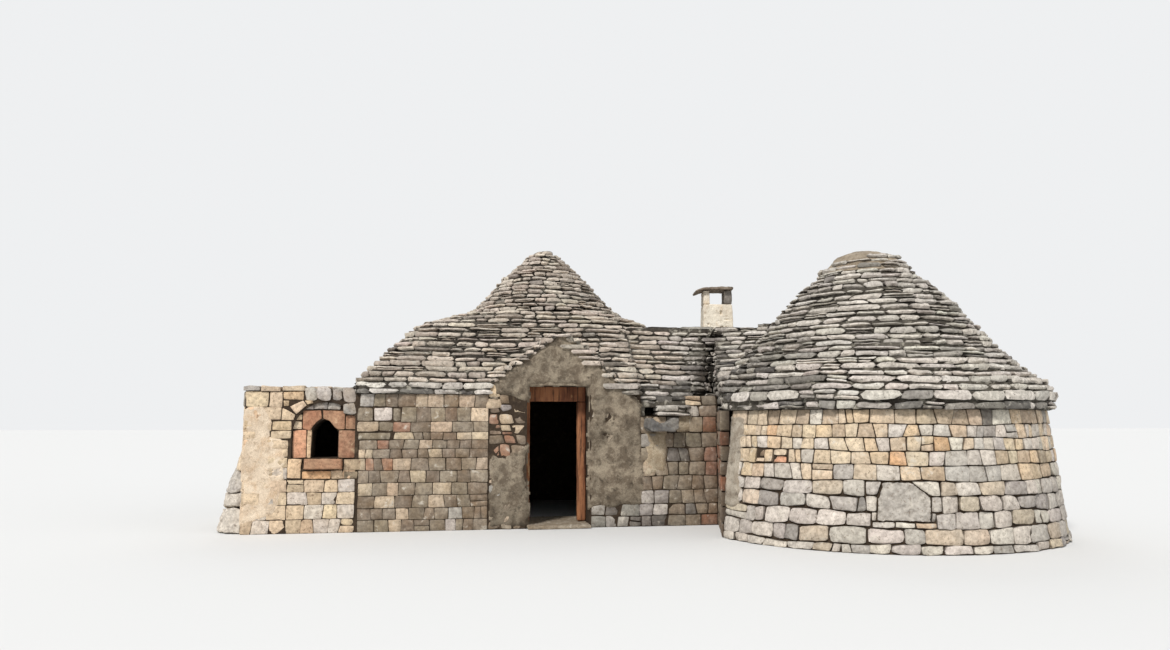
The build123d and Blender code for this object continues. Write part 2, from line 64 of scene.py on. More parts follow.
def restart(number):
    """Chance starts again here, so that one pile's stones don't move another's."""
    global rng
    rng = np.random.default_rng(number)


restart(1907)


def unit(vectors):
    """The same directions, each with length 1."""
    return vectors / np.maximum(np.linalg.norm(vectors, axis=-1, keepdims=True), 1e-12)


def distances(places, others):
    """Level distances from each place to each of the others."""
    return np.linalg.norm(places[:, None, :2] - others[None], axis=2)


def placed(name, data):
    """A new object in the scene."""
    made = bpy.data.objects.new(name, data)
    bpy.context.scene.collection.objects.link(made)
    return made


# ----- materials ------------------------------------------------------------------------

def linear(colour):
    """The colour as the shaders need it, from the usual 0 to 255 values."""
    c = np.asarray(colour, float) / 255
    return np.where(c <= 0.04045, c / 12.92, ((c + 0.055) / 1.055) ** 2.4)


def rgba(colour):
    return (*linear(colour), 1.0)


class Shader:
    """A material and the few kinds of node that the stones, plaster and timber need."""

    def __init__(self, name):
        self.material = bpy.data.materials.new(name)
        self.material.use_nodes = True
        self.tree = self.material.node_tree
        self.surface = self.tree.nodes["Principled BSDF"]
        self.surface.inputs["Specular IOR Level"].default_value = 0.25
        self.place = self.tree.nodes.new("ShaderNodeTexCoord").outputs["Object"]

    def put(self, node, inputs):
        """Link or set a node's inputs."""
        for key, value in inputs.items():
            if isinstance(value, bpy.types.NodeSocket):
                self.tree.links.new(value, node.inputs[key])
            else:
                node.inputs[key].default_value = value

    def add(self, kind, output, inputs, **settings):
        """An output of a new node."""
        node = self.tree.nodes.new("ShaderNode" + kind)
        for name, value in settings.items():
            setattr(node, name, value)
        self.put(node, inputs)
        return node.outputs[output]

    def noise(self, scale, detail=5, rough=0.6, stretch=None, distortion=0.0):
        place = self.place
        if stretch:
            place = self.add("Mapping", "Vector", {"Vector": place, "Scale": stretch})
        return self.add("TexNoise", "Fac", {"Vector": place, "Scale": scale, "Detail": detail,
                                            "Roughness": rough, "Distortion": distortion})

    def cells(self, scale):
        return self.add("TexVoronoi", "Distance", {"Vector": self.place, "Scale": scale})

    def attribute(self, name, output):
        return self.add("Attribute", output, {}, attribute_name=name)

    def span(self, value, low, high, out_low=0.0, out_high=1.0):
        return self.add("MapRange", "Result", {"Value": value, "From Min": low, "From Max": high,
                                               "To Min": out_low, "To Max": out_high})

    def mix(self, factor, a, b, kind="MIX"):
        return self.add("Mix", 2, {"Factor": factor, 6: a, 7: b}, data_type="RGBA",
                        blend_type=kind)

    def over(self, colour, value, low, high, most, tone):
        """The colour with a tone over it, from none at value low to its most at high."""
        return self.mix(self.span(value, low, high, 0.0, most), colour, rgba(tone))

    def height(self):
        return self.add("SeparateXYZ", "Z", {0: self.place})

    def finish(self, colour, rough, bumps):
        """Connect colour and roughness, and chain the (height, distance) bumps."""
        chained = {}
        for height, distance in bumps:
            chained = {"Normal": self.add("Bump", "Normal", {
                "Height": height, "Distance": distance, "Strength": 0.8, **chained})}
        self.put(self.surface, {"Base Color": colour, "Roughness": rough, **chained})
        return self.material


def stone(name, lichen=(176, 170, 156), stain=(70, 64, 56), lichen_from=0.56, grain=1.0,
          tint=None, joint=(30, 24, 19)):
    """Weathered limestone: each stone's own tint, with mottling, lichen, stains and pits, and
    painted shade in its joints.
    """
    s = Shader(name)
    base = s.attribute("tint", "Color") if tint is None else rgba(tint)
    broad = s.noise(3.1, 4)
    mottle = s.noise(17, 7, 0.66)
    fine = s.noise(70, 5, 0.7)
    patch = s.noise(8.5, 6, 0.62, distortion=0.4)
    spots = s.noise(31, 4, 0.55)
    pits = s.cells(46)
    colour = s.over(base, broad, 0.36, 0.64, 0.28, lichen)
    shade = s.over(rgba((162, 158, 155)), mottle, 0.34, 0.62, 1.0, (255, 255, 254))
    colour = s.mix(0.7, colour, shade, "MULTIPLY")
    colour = s.over(colour, patch, lichen_from, lichen_from + 0.09, 0.75, lichen)
    colour = s.over(colour, spots, 0.59, 0.68, 0.62, stain)
    colour = s.over(colour, pits, 0.16, 0.02, 0.35, stain)
    # painted shade in the joints: the joint colour, as strong as the joint attribute
    if tint is None:
        colour = s.mix(s.attribute("joint", "Fac"), colour, rgba(joint))
    rough = s.span(mottle, 0.3, 0.7, 0.82, 1.0)
    return s.finish(colour, rough, [(mottle, 0.016 * grain), (fine, 0.006 * grain),
                                    (s.span(pits, 0.0, 0.2), 0.004 * grain)])


def plaster(name, clean, worn, dirt, wear_from=0.5, damp=0.0):
    """Old lime plaster: clean skin, worn patches, dark mould and grit."""
    s = Shader(name)
    broad = s.noise(1.9, 6, 0.6)
    patch = s.noise(5.3, 8, 0.68, distortion=0.3)
    blot = s.noise(13, 6, 0.7)
    grit = s.noise(85, 4, 0.7)
    holes = s.cells(24)
    colour = s.over(rgba(clean), patch, wear_from - 0.07, wear_from + 0.07, 1.0, worn)
    colour = s.over(colour, broad, 0.42, 0.7, 0.6, dirt)
    colour = s.over(colour, blot, 0.55, 0.66, 0.7, dirt)
    colour = s.over(colour, blot, 0.44, 0.34, 0.6, clean)
    if damp:
        colour = s.over(colour, s.height(), 0.7, 0.0, damp, dirt)
    colour = s.over(colour, holes, 0.11, 0.03, 0.55, dirt)
    fleck = s.over(rgba((190, 186, 180)), grit, 0.35, 0.65, 1.0, (255, 255, 255))
    colour = s.mix(0.7, colour, fleck, "MULTIPLY")
    return s.finish(colour, s.span(patch, 0.3, 0.7, 0.8, 0.98),
                    [(patch, 0.03), (blot, 0.014), (grit, 0.004)])


def timber(name, fresh, worn, dark):
    """Old door timber: long upright grain, faded paint worn through, dark cracks, pale painted
    highlights.
    """
    s = Shader(name)
    grain = s.noise(26, 6, 0.65, stretch=(1.0, 1.0, 0.06))
    band = s.noise(7, 4, 0.6, stretch=(1.0, 1.0, 0.22))
    wear = s.noise(9, 6, 0.65, stretch=(1.0, 1.0, 0.4))
    colour = s.over(rgba(fresh), band, 0.4, 0.62, 1.0, worn)
    colour = s.over(colour, grain, 0.52, 0.62, 0.8, dark)
    # painted highlight: pale streaks for flecks of sunlight on the timber
    colour = s.over(colour, wear, 0.6, 0.68, 0.7, (196, 160, 118))
    return s.finish(colour, s.span(wear, 0.3, 0.7, 0.6, 0.9), [(grain, 0.008), (wear, 0.003)])


# each material's joint colour is the painted shade deep in its joints
ROOF_STONE = stone("roof_slab_stone", lichen=(186, 180, 168), stain=(72, 68, 64))
WALL_STONE = stone("wall_block_stone", lichen=(206, 198, 184), stain=(116, 102, 86),
                   lichen_from=0.6, grain=1.1, joint=(52, 42, 33))
OVEN_STONE = stone("oven_block_stone", lichen=(214, 188, 154), stain=(104, 76, 58),
                   lichen_from=0.62, grain=0.7, joint=(58, 42, 30))
# the cores show deep in the joints: their dark tints are partly their own, partly painted shade
ROOF_CORE = stone("roof_core_stone", tint=(58, 52, 46))
WALL_CORE = stone("wall_core_stone", tint=(64, 52, 41), lichen=(88, 75, 60), stain=(34, 28, 22))
CAP_MORTAR = plaster("cap_mortar", (188, 174, 154), (160, 146, 126), (110, 98, 84))
# the front's own mottled grey-brown plaster, made darker as painted shade of a tree's shadow
FRONT_PLASTER_SHADED = plaster("front_plaster_shaded", (170, 157, 137), (124, 111, 95), (72, 64, 54), damp=0.55)
STRIPE_PLASTER = plaster("stripe_plaster", (212, 197, 172), (184, 166, 140), (120, 106, 86))
CORNER_PLASTER = plaster("corner_plaster", (194, 184, 168), (162, 150, 134), (112, 102, 90))
PIER_PLASTER = plaster("pier_plaster", (247, 228, 203), (232, 204, 172), (184, 160, 134),
                       wear_from=0.56)
CHIMNEY_PLASTER = plaster("chimney_plaster", (255, 246, 228), (250, 232, 206), (186, 166, 142),
                          wear_from=0.6)
DOOR_TIMBER = timber("door_timber", (160, 108, 74), (112, 68, 46), (52, 32, 24))


# ----- stones ---------------------------------------------------------------------------

def lattice(us, vs, ws):
    """Points and quads of a block's skin, with grid lines at us, vs (both -1 to 1) and ws.

    ws runs inwards from 0 at the face to 1 at the back."""
    spots, quads = {}, []

    def quad(*corners):
        quads.append([spots.setdefault(corner, len(spots)) for corner in corners])

    nu, nv, nw = len(us) - 1, len(vs) - 1, len(ws) - 1
    for i in range(nu):
        for j in range(nv):
            quad((i, j, 0), (i + 1, j, 0), (i + 1, j + 1, 0), (i, j + 1, 0))
            quad((i, j, nw), (i, j + 1, nw), (i + 1, j + 1, nw), (i + 1, j, nw))
    for i in range(nu):
        for k in range(nw):
            quad((i, nv, k), (i + 1, nv, k), (i + 1, nv, k + 1), (i, nv, k + 1))
            quad((i, 0, k), (i, 0, k + 1), (i + 1, 0, k + 1), (i + 1, 0, k))
    for j in range(nv):
        for k in range(nw):
            quad((nu, j, k), (nu, j, k + 1), (nu, j + 1, k + 1), (nu, j + 1, k))
            quad((0, j, k), (0, j + 1, k), (0, j + 1, k + 1), (0, j, k + 1))
    return np.array([(us[i], vs[j], ws[k]) for i, j, k in spots]), np.array(quads)


# the skins of slabs and of blocks, with more points near their edges
SLAB = lattice([-1, -0.86, -0.45, 0, 0.45, 0.86, 1], [-1, 0, 1], [0, 0.07, 0.4, 1])
BLOCK = lattice([-1, -0.88, -0.3, 0.3, 0.88, 1], [-1, -0.82, 0, 0.82, 1], [0, 0.14, 1])
# the waves in a ripple: their directions, and how far each moves with the seed
WAVES = [((1.0, 0.3, 0.5), 1.0), ((-0.6, 1.1, 0.4), 2.3), ((0.5, -0.7, 1.2), 3.7),
         ((1.9, 1.3, -0.8), 5.1), ((-1.5, 0.9, 2.1), 7.7)]


def ripple(points, seed, scale):
    """Smooth noise between about -1 and 1, different for each seed."""
    return sum(np.sin((points @ wave) * scale + seed * step) for wave, step in WAVES) / 3


class Pile:
    """Stones that end up in one mesh, each with its tint and the painted shade in its joints."""

    def __init__(self, form):
        self.form, self.quads = form
        self.points, self.tints, self.joints = [], [], []

    def lay(self, corners, surface, depth, proud, tint, gap=0.01, lift=0.012, round_off=0.1,
            rough=0.006, tread=False, shade=1.0):
        """Stones whose faces are the cells with these corners on the surface.

        corners is (stones, 4, 2), from the lower left and round to the left. surface turns
        (u, v) into points and outward directions, depth is how far each stone reaches in,
        proud how far its face stands out, gap the joint, lift how much the face is pillowed.
        With tread, the front of each stone's top gets little painted shade, like its face. shade
        scales the painted shade on the sides of the joints."""
        count = len(corners)
        if not count:
            return
        x, y, z = self.form.T[:, None]
        seed = rng.uniform(0, 100, (count, 1))
        pull = 1 - round_off * rng.uniform(0.4, 1.3, (count, 1)) * (np.abs(x) * np.abs(y)) ** 5
        gaps = gap * rng.uniform(0.5, 1.4, (count, 1))
        shares = []
        for along, end in ((x, 1), (y, 3)):
            size = np.linalg.norm(corners[:, end] - corners[:, 0], axis=1)[:, None]
            part = along * pull * (1 - gaps / np.maximum(size, 0.02))
            shares.append(((part + 1) / 2)[..., None])
        wx, wy = shares
        a, b, c, d = (corners[:, i, None] for i in range(4))
        uv = a * (1 - wx) * (1 - wy) + b * wx * (1 - wy) + c * wx * wy + d * (1 - wx) * wy
        point, out = surface(uv[..., 0], uv[..., 1])
        edge = np.maximum(np.abs(x), np.abs(y)) ** 7
        lean = rng.normal(0, 0.35, (count, 2)) * lift
        face = (np.reshape(proud, (-1, 1)) + lean[:, :1] * x + lean[:, 1:] * y
                + rough * ripple(point, seed, 21) + 0.5 * rough * ripple(point, seed + 9, 55))
        inward = np.reshape(depth, (-1, 1)) * z + lift * edge * (z < 0.01)
        middle = out[:, [len(self.form) // 3]]
        point = point + out * (face * (1 - z))[..., None] - middle * inward[..., None]
        wobble = rough * 0.8 * (1 - z * 0.7)
        side = np.cross((0, 0, 1.0), out)
        point = point + side * (wobble * ripple(point, seed + 31, 17))[..., None]
        point[..., 2] += wobble * 0.7 * ripple(point, seed + 57, 19)
        # painted shade: sides darken the deeper they reach into the joint, faces only at the rim
        dark = np.where(z < 0.01, 0.12 * edge, np.where(z < 0.2, 0.5, 0.92))
        if tread:
            dark = np.where((y > 0.5) & (z > 0.01), np.where(z < 0.5, 0.15, 0.9), dark)
        self.points.append(np.clip(point, cad_low, cad_high))
        self.tints.append(np.repeat(tint[:, None], len(self.form), 1))
        self.joints.append(np.broadcast_to(dark * shade, (count, len(self.form))))

    def build(self, name, material, slot, replaced=()):
        points = np.concatenate(self.points)
        starts = np.arange(len(points))[:, None, None] * len(self.form)
        solid(name, points.reshape(-1, 3), (self.quads + starts).reshape(-1, 4), material, slot,
              replaced, np.concatenate(self.tints).reshape(-1, 3),
              np.concatenate(self.joints).ravel())


def solid(name, points, faces, material, slot, replaced=(), tints=None, joints=None):
    """A mesh piece of the house that rides on its one body."""
    mesh = bpy.data.meshes.new(name)
    count, corners = faces.shape
    mesh.vertices.add(len(points))
    mesh.vertices.foreach_set("co", np.asarray(points, np.float32).ravel())
    mesh.loops.add(count * corners)
    mesh.loops.foreach_set("vertex_index", faces.astype(np.int32).ravel())
    mesh.polygons.add(count)
    mesh.polygons.foreach_set("loop_start", np.arange(0, count * corners, corners, np.int32))
    mesh.update(calc_edges=True)
    mesh.validate()
    mesh.polygons.foreach_set("use_smooth", np.ones(count, bool))
    mesh.set_sharp_from_angle(angle=math.radians(48))
    if tints is not None:
        tints = np.c_[tints, np.ones(len(tints))]
        for key, kind, field, values in (("tint", "FLOAT_COLOR", "color", tints),
                                         ("joint", "FLOAT", "value", joints)):
            mesh.attributes.new(key, kind, "POINT").data.foreach_set(
                field, values.astype(np.float32).ravel())
    mesh.materials.append(material)
    piece = placed(name, mesh)
    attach(piece, "root")
    if replaced:
        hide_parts(*replaced)


def rock(points, scale, seed=0.0):
    """Natural noise between about -1 and 1 at each point."""
    shift = Vector((seed, 2 * seed, -seed))
    return np.array([noise.fractal(Vector(p) * scale + shift, 0.7, 2.1, 4) for p in points])


def remeshed(points, faces, voxel):
    """An even skin of quads round a closed form."""
    mesh = bpy.data.meshes.new("form")
    mesh.from_pydata([tuple(p) for p in points], [], [tuple(map(int, f)) for f in faces])
    form = placed("form", mesh)
    modifier = form.modifiers.new("remesh", "REMESH")
    modifier.mode, modifier.voxel_size = "VOXEL", voxel
    made = form.evaluated_get(bpy.context.evaluated_depsgraph_get()).to_mesh()
    co, quads = np.empty(len(made.vertices) * 3), np.empty(len(made.loops), np.int32)
    made.vertices.foreach_get("co", co)
    made.loops.foreach_get("vertex_index", quads)
    bpy.data.objects.remove(form)
    bpy.data.meshes.remove(mesh)
    return co.reshape(-1, 3), quads.reshape(-1, 4)


def outward(points, quads):
    """The directions out of a skin at its points."""
    a, b, c, d = (points[quads[:, i]] for i in range(4))
    face = np.cross(c - a, d - b)
    total = np.zeros_like(points)
    for i in range(4):
        np.add.at(total, quads[:, i], face)
    return unit(total)


def relax(points, quads, rounds):
    """Even out the points, which rounds the edges."""
    ends = np.concatenate([quads[:, [i, (i + 1) % 4]] for i in range(4)])
    ends = np.concatenate([ends, ends[:, ::-1]])
    count = np.bincount(ends[:, 0], minlength=len(points))[:, None]
    for _ in range(rounds):
        near = np.stack([np.bincount(ends[:, 0], points[ends[:, 1], i], len(points))
                         for i in range(3)], 1)
        points = (points + near / np.maximum(count, 1)) / 2
    return points


def joined(forms):
    """Several forms, each (points, faces), as one."""
    points, faces = zip(*forms)
    starts = np.cumsum([0, *map(len, points)])
    return np.concatenate(points), np.concatenate([f + s for f, s in zip(faces, starts)])


def worn(name, forms, material, slot, voxel=0.014, wear=0.006, scale=5.0, rounds=3,
         replaced=(), tints=None, hollows=()):
    """Stones from closed forms: rounded at the edges and worn in by the weather.

    forms are (points, faces). hollows are (place, radius, depth) of holes in the faces."""
    made = []
    for index, (points, faces) in enumerate(forms):
        co, quads = remeshed(points, faces, voxel)
        co = relax(co, quads, rounds)
        seed = index * 7.3 + len(name)
        broad, fine = rock(co, scale, seed), rock(co, scale * 4, seed + 3)
        inward = np.maximum(wear * (0.6 + 0.9 * broad + 0.5 * fine), 0)
        for place, radius, depth in hollows:
            inward += depth * np.exp(-np.linalg.norm((co - place) / radius, axis=1) ** 4)
        co = co - outward(co, quads) * inward[:, None]
        made.append((np.clip(co, np.min(points, 0), np.max(points, 0)), quads))
    sizes = [len(co) for co, _ in made]
    colours = np.repeat(linear(tints or [(188, 180, 170)] * len(forms)), sizes, 0)
    solid(name, *joined(made), material, slot, replaced, colours, np.zeros(sum(sizes)))


def worn_nodes(name, names, *args, **look):
    """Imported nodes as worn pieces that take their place."""
    worn(name, [form_of(node) for node in names], *args, replaced=names, **look)


def prism(outline, front, back):
    """A closed form from an outline of (x, z) points, run from y = front to y = back."""
    count = len(outline)
    points = [(x, y, z) for y in (front, back) for x, z in outline]
    sides = [(i, (i + 1) % count, count + (i + 1) % count, count + i) for i in range(count)]
    return points, [tuple(range(count))[::-1], tuple(range(count, 2 * count)), *sides]


def depth_inside(outline, u, v):
    """How far each spot (u, v) lies inside a closed outline; negative outside."""
    spot, ring = np.stack([u, v], -1), np.array(outline, float)
    nearest, inside = np.full(u.shape, 9.0), np.zeros(u.shape, bool)
    for a, b in zip(ring, np.roll(ring, -1, 0)):
        run = b - a
        t = np.clip(((spot - a) @ run) / (run @ run), 0, 1)
        nearest = np.minimum(nearest, np.linalg.norm(spot - a - t[..., None] * run, axis=-1))
        crosses = (a[1] > v) != (b[1] > v)
        with np.errstate(divide="ignore", invalid="ignore"):
            inside ^= crosses & (u < a[0] + (v - a[1]) * run[0] / run[1])
    return np.where(inside, nearest, -nearest)


def coat(name, surface, spans, outlines, material, step=0.022, thick=0.022, relief=0.008,
         ragged=0.05, holes=0.0, seed=0.0):
    """A coat of old plaster on a wall: a closed sheet, torn and thin at its edge.

    The sheet lies inside the outlines. spans is (u0, u1, v0, v1), which holds them all, and
    holes is the share of noise at which the coat has come away."""
    u0, u1, v0, v1 = spans
    u, v = np.meshgrid(np.arange(u0, u1 + step, step), np.arange(v0, v1 + step, step),
                       indexing="ij")
    point, out = surface(u, v)
    flat = point.reshape(-1, 3)

    def field(scale, more):
        return rock(flat, scale, seed + more).reshape(u.shape)

    def at_corners(grid):
        """The grid's values at the four corners of each of its cells."""
        return np.stack([grid[:-1, :-1], grid[1:, :-1], grid[1:, 1:], grid[:-1, 1:]], -1)

    rise = field(7.0, 5)
    depth = np.max([depth_inside(outline, u, v) for outline in outlines], 0)
    depth = depth + ragged * field(3.2, 0) * (depth < 0.25)
    if holes:
        depth = np.minimum(depth, (holes - (field(1.9, 13) + 0.35 * rise)) * 0.25)
    height = (thick * np.sqrt(np.clip(depth / 0.06, 0, 1)) + 0.9 * np.clip(depth, -0.04, 0)
              + relief * (rise + 0.3 * field(26.0, 9)) * np.clip(depth / 0.08 + 0.2, 0, 1))
    kept = at_corners(depth).max(-1) > -0.025
    quads = at_corners(np.arange(u.size).reshape(u.shape))[kept]
    out = out.reshape(-1, 3)
    edges = np.concatenate([quads[:, [i, (i + 1) % 4]] for i in range(4)])
    keys = {(a, b) for a, b in edges.tolist()}
    rim = np.array([(a, b) for a, b in keys if (b, a) not in keys])
    walls = np.c_[rim[:, ::-1], rim + u.size]
    faces = np.concatenate([quads, quads[:, ::-1] + u.size, walls])
    points = np.concatenate([flat + out * height.reshape(-1, 1), flat - out * 0.06])
    used, faces = np.unique(faces, return_inverse=True)
    solid(name, points[used], faces.reshape(-1, 4), material, "plastered_stone")


PALEST = 0.84  # how light limestone gets


def held(tint):
    """Tints no lighter than the palest limestone, with their hue kept."""
    return tint * np.minimum(1, PALEST / np.maximum(tint.max(1, keepdims=True), 1e-6))


def pick(colours, weights, count, spread=0.1):
    """A tint for each stone, from a few colours, each a little lighter or darker."""
    weights = np.asarray(weights, float)
    chosen = rng.choice(len(colours), count, p=weights / weights.sum())
    tint = linear(np.asarray(colours))[chosen]
    return held(tint * rng.normal(1, spread, (count, 1)) * rng.normal(1, 0.012, (count, 3)))


def joints_along(length, small, large):
    """Places of the upright joints along a course."""
    widths = []
    while sum(widths) < length - small * 0.5:
        widths.append(small + (large - small) * rng.beta(1.6, 2.2))
    widths = np.array(widths) * (length / sum(widths)) if widths else [length]
    return np.concatenate([[0], np.cumsum(widths)])


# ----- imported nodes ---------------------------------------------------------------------

def triangles(node):
    mesh = node.data
    mesh.calc_loop_triangles()
    points = np.empty(len(mesh.vertices) * 3)
    mesh.vertices.foreach_get("co", points)
    index = np.empty(len(mesh.loop_triangles) * 3, np.int32)
    mesh.loop_triangles.foreach_get("vertices", index)
    return points.reshape(-1, 3), index.reshape(-1, 3)


def weld(points, faces):
    """The same triangles with corners that lie together made one."""
    _, first, back = np.unique(np.round(points, 4), axis=0, return_index=True,
                               return_inverse=True)
    faces = back.reshape(-1)[faces]
    return points[first], faces[(faces != np.roll(faces, 1, 1)).all(1)]


def form_of(name):
    """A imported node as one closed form."""
    return weld(*triangles(nodes[name]))


# ----- roofs ----------------------------------------------------------------------------

def is_roof(name):
    return any(word in name for word in ("eaves", "cone", "roof", "house_cap", "annex_cap"))


def packed(names):
    """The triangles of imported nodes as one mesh."""
    return joined([triangles(nodes[name]) for name in names])


ROOF_NODES = sorted(n for n in nodes if is_roof(n))
above_tree = BVHTree.FromPolygons(*(part.tolist() for part in packed(
    [n for n in nodes if not n.startswith("chimney")])))
points, faces = packed(ROOF_NODES)
roof_faces = points[faces]
roof_normals = unit(np.cross(roof_faces[:, 1] - roof_faces[:, 0],
                             roof_faces[:, 2] - roof_faces[:, 0]))
keep = (roof_normals[:, 2] > -0.35) & (np.linalg.norm(roof_normals[:, :2], axis=1) > 0.08)
roof_faces, roof_normals = roof_faces[keep], roof_normals[keep]


def cut_level(z):
    """Segments in which the level plane at z cuts the outer roof faces, outside on the right."""
    side = roof_faces[:, :, 2] - z
    crossing = (side.min(1) < 0) & (side.max(1) > 0)
    faces, side, out = roof_faces[crossing], side[crossing], roof_normals[crossing]
    ends = np.zeros((len(faces), 2, 2))
    filled = np.zeros(len(faces), int)
    for i, j in ((0, 1), (1, 2), (2, 0)):
        hit = ((side[:, i] < 0) != (side[:, j] < 0)) & (filled < 2)
        t = side[hit, i] / (side[hit, i] - side[hit, j])
        where = np.nonzero(hit)[0]
        ends[where, filled[where]] = (faces[hit, i, :2] * (1 - t)[:, None]
                                      + faces[hit, j, :2] * t[:, None])
        filled[where] += 1
    ends = ends[filled == 2]
    out = out[filled == 2]
    along = np.c_[-out[:, 1], out[:, 0]]
    wrong = ((ends[:, 1] - ends[:, 0]) * along).sum(1) < 0
    ends[wrong] = ends[wrong][:, ::-1]
    return ends[np.linalg.norm(ends[:, 1] - ends[:, 0], axis=1) > 1e-6]


def chain(lines, reach):
    """Join lines whose end lies within reach of another's start. Each is an (n, 2) array."""
    starts = np.array([line[0] for line in lines])
    ends = np.array([line[-1] for line in lines])
    free, made = list(range(len(lines))), []
    while free:
        # begin with a line that no other free line leads into, if there is one
        gap = distances(starts[free], ends[free])
        np.fill_diagonal(gap, 9)
        lone = np.flatnonzero(gap.min(1) > reach)
        run = [free.pop(lone[0] if len(lone) else 0)]
        while free:
            gap = np.linalg.norm(starts[free] - ends[run[-1]], axis=1)
            if gap.min() > reach:
                break
            run.append(free.pop(gap.argmin()))
        made.append(np.concatenate([lines[i] for i in run]))
    return made


def ways(line):
    """How far along a line each of its points lies."""
    return np.r_[0, np.cumsum(np.linalg.norm(np.diff(line, axis=0), axis=1))]


def spots_on(line, way, u):
    """What a line's points or directions are at u along it."""
    return np.stack([np.interp(u, way, line[:, i]) for i in (0, 1)], -1)


def resample(line, step=0.025):
    """The line with points at even steps."""
    line = line[np.r_[True, np.linalg.norm(np.diff(line, axis=0), axis=1) > 1e-5]]
    if len(line) < 2:
        return line
    way = ways(line)
    return spots_on(line, way, np.linspace(0, way[-1], max(2, int(round(way[-1] / step)) + 1)))


def right_of(line, closed=False):
    """The level directions to the right of a line at its points."""
    run = np.gradient(line, axis=0)
    if closed:
        run[0] = run[-1] = line[1] - line[-2]
    return unit(run)[:, ::-1] * (1, -1)


def open_to_sky(line, z):
    """For each point of a line at z, whether nothing but sky lies over the spot beside it.

    A face that touches another solid doesn't count: a ray from it leaves that solid's top."""
    good = []
    for (x, y), (dx, dy) in zip(line, right_of(line)):
        sky = above_tree.ray_cast(Vector((x + dx * 0.05, y + dy * 0.05, z + 0.004)), UP)[0]
        hit, normal, _, _ = above_tree.ray_cast(Vector((x + dx * 0.01, y + dy * 0.01, z)), UP)
        good.append(sky is None and (hit is None or normal.z < 0))
    return np.array(good)


def smooth(line, closed, rounds):
    """The line with its points moved towards their neighbours; an open one keeps its ends."""
    for _ in range(rounds):
        if closed:
            line = (np.roll(line, 1, 0) + 2 * line + np.roll(line, -1, 0)) / 4
        else:
            line = np.concatenate([line[:1], (line[:-2] + 2 * line[1:-1] + line[2:]) / 4,
                                   line[-1:]])
    return line


JOIN = 0.16  # outlines whose ends are nearer than this run on into each other


@functools.lru_cache(None)
def level_lines(z):
    """The roofs' outer outlines at height z, as (points, closed), outside on the right."""
    runs = []
    for line in map(resample, chain(cut_level(z), 0.008)):
        if len(line) > 2:
            good = open_to_sky(line, z).astype(int)
            edges = np.flatnonzero(np.diff(np.r_[0, good, 0]))
            runs += [line[a:b] for a, b in zip(edges[::2], edges[1::2]) if b - a > 2]
    made = []
    for line in chain(runs, JOIN):
        closed = len(line) > 12 and np.linalg.norm(line[0] - line[-1]) < JOIN
        line = resample(np.concatenate([line, line[:1]]))[:-1] if closed else resample(line)
        if len(line) < 5:
            continue
        line = smooth(line, closed, 6)
        if not closed:  # slabs run a little past the end of a slope
            more = np.array([[0.055], [0.03]])
            line = np.concatenate([line[0] + more * unit(line[0] - line[2]), line,
                                   line[-1] + more[::-1] * unit(line[-1] - line[-3])])
        made.append((line, closed))
    return made


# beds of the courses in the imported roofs, and of the slabs on them, which vary in thickness
STEPS = np.r_[1.68, 1.75, 1.865, 1.945, 2.0, 2.075, 2.14, 2.14 + 0.066 * np.arange(1, 41)]
THICK = np.resize([0.085, 0.104, 0.076, 0.098, 0.088, 0.094, 0.079, 0.092], 32)
LEVELS = np.r_[1.68, 1.75, 1.865, 2.0, 2.0 + np.cumsum(THICK) * 2.78 / THICK.sum()]


def swell(x, y):
    """How far the old courses have risen or sagged here."""
    return (0.010 * np.sin(1.7 * x + 0.9 * y) + 0.007 * np.sin(2.9 * y - 1.3 * x + 1)
            + 0.004 * np.sin(5.3 * x + 4.1 * y))


class LevelLine:
    """A course's outline as a surface: u is the way along it and v the height."""

    def __init__(self, line, closed):
        self.line = np.concatenate([line, line[:1]]) if closed else line
        self.closed, self.way = closed, ways(self.line)
        self.out, self.length = right_of(self.line, closed), self.way[-1]

    def __call__(self, u, v):
        u = np.mod(u, self.length) if self.closed else np.clip(u, 0, self.length)
        flat, out = spots_on(self.line, self.way, u), spots_on(self.out, self.way, u)
        z = (v + swell(flat[..., 0], flat[..., 1]))[..., None]
        return np.concatenate([flat, z], -1), unit(np.concatenate([out, 0 * z], -1))


def slab_lines(low, high):
    """Outlines of a slab course, from those of the two packed courses nearest its middle."""
    middles, z = (STEPS[1:] + STEPS[:-1]) / 2, (low + high) / 2
    k = int(np.clip(np.searchsorted(STEPS, z) - 1, 0, len(middles) - 1))
    other = int(np.clip(k + (1 if z > middles[k] else -1), 0, len(middles) - 1))
    beside = [line for line, _ in level_lines(middles[other])]
    if other == k or not beside:
        return level_lines(middles[k])
    share = (z - middles[k]) / (middles[other] - middles[k])
    beside = np.concatenate(beside)
    made = []
    for line, closed in level_lines(middles[k]):
        apart = distances(line, beside)
        move = beside[apart.argmin(1)] - line
        move[apart.min(1) > 0.25] = 0
        made.append((smooth(line + share * move, closed, 4), closed))
    return made


GREYS = [(216, 208, 198), (231, 223, 212), (192, 184, 175), (242, 235, 224), (152, 146, 139)]
PINKS = [(228, 214, 198), (214, 200, 185), (240, 227, 211), (188, 175, 162), (148, 138, 129)]
DARK_AND_SHADE_GREYS = [(132, 127, 121), (108, 104, 100), (154, 148, 140), (90, 86, 83), (170, 163, 152)]


GAP = (1.95, 2.62)  # where the gap between the house's roof and the round one begins and ends


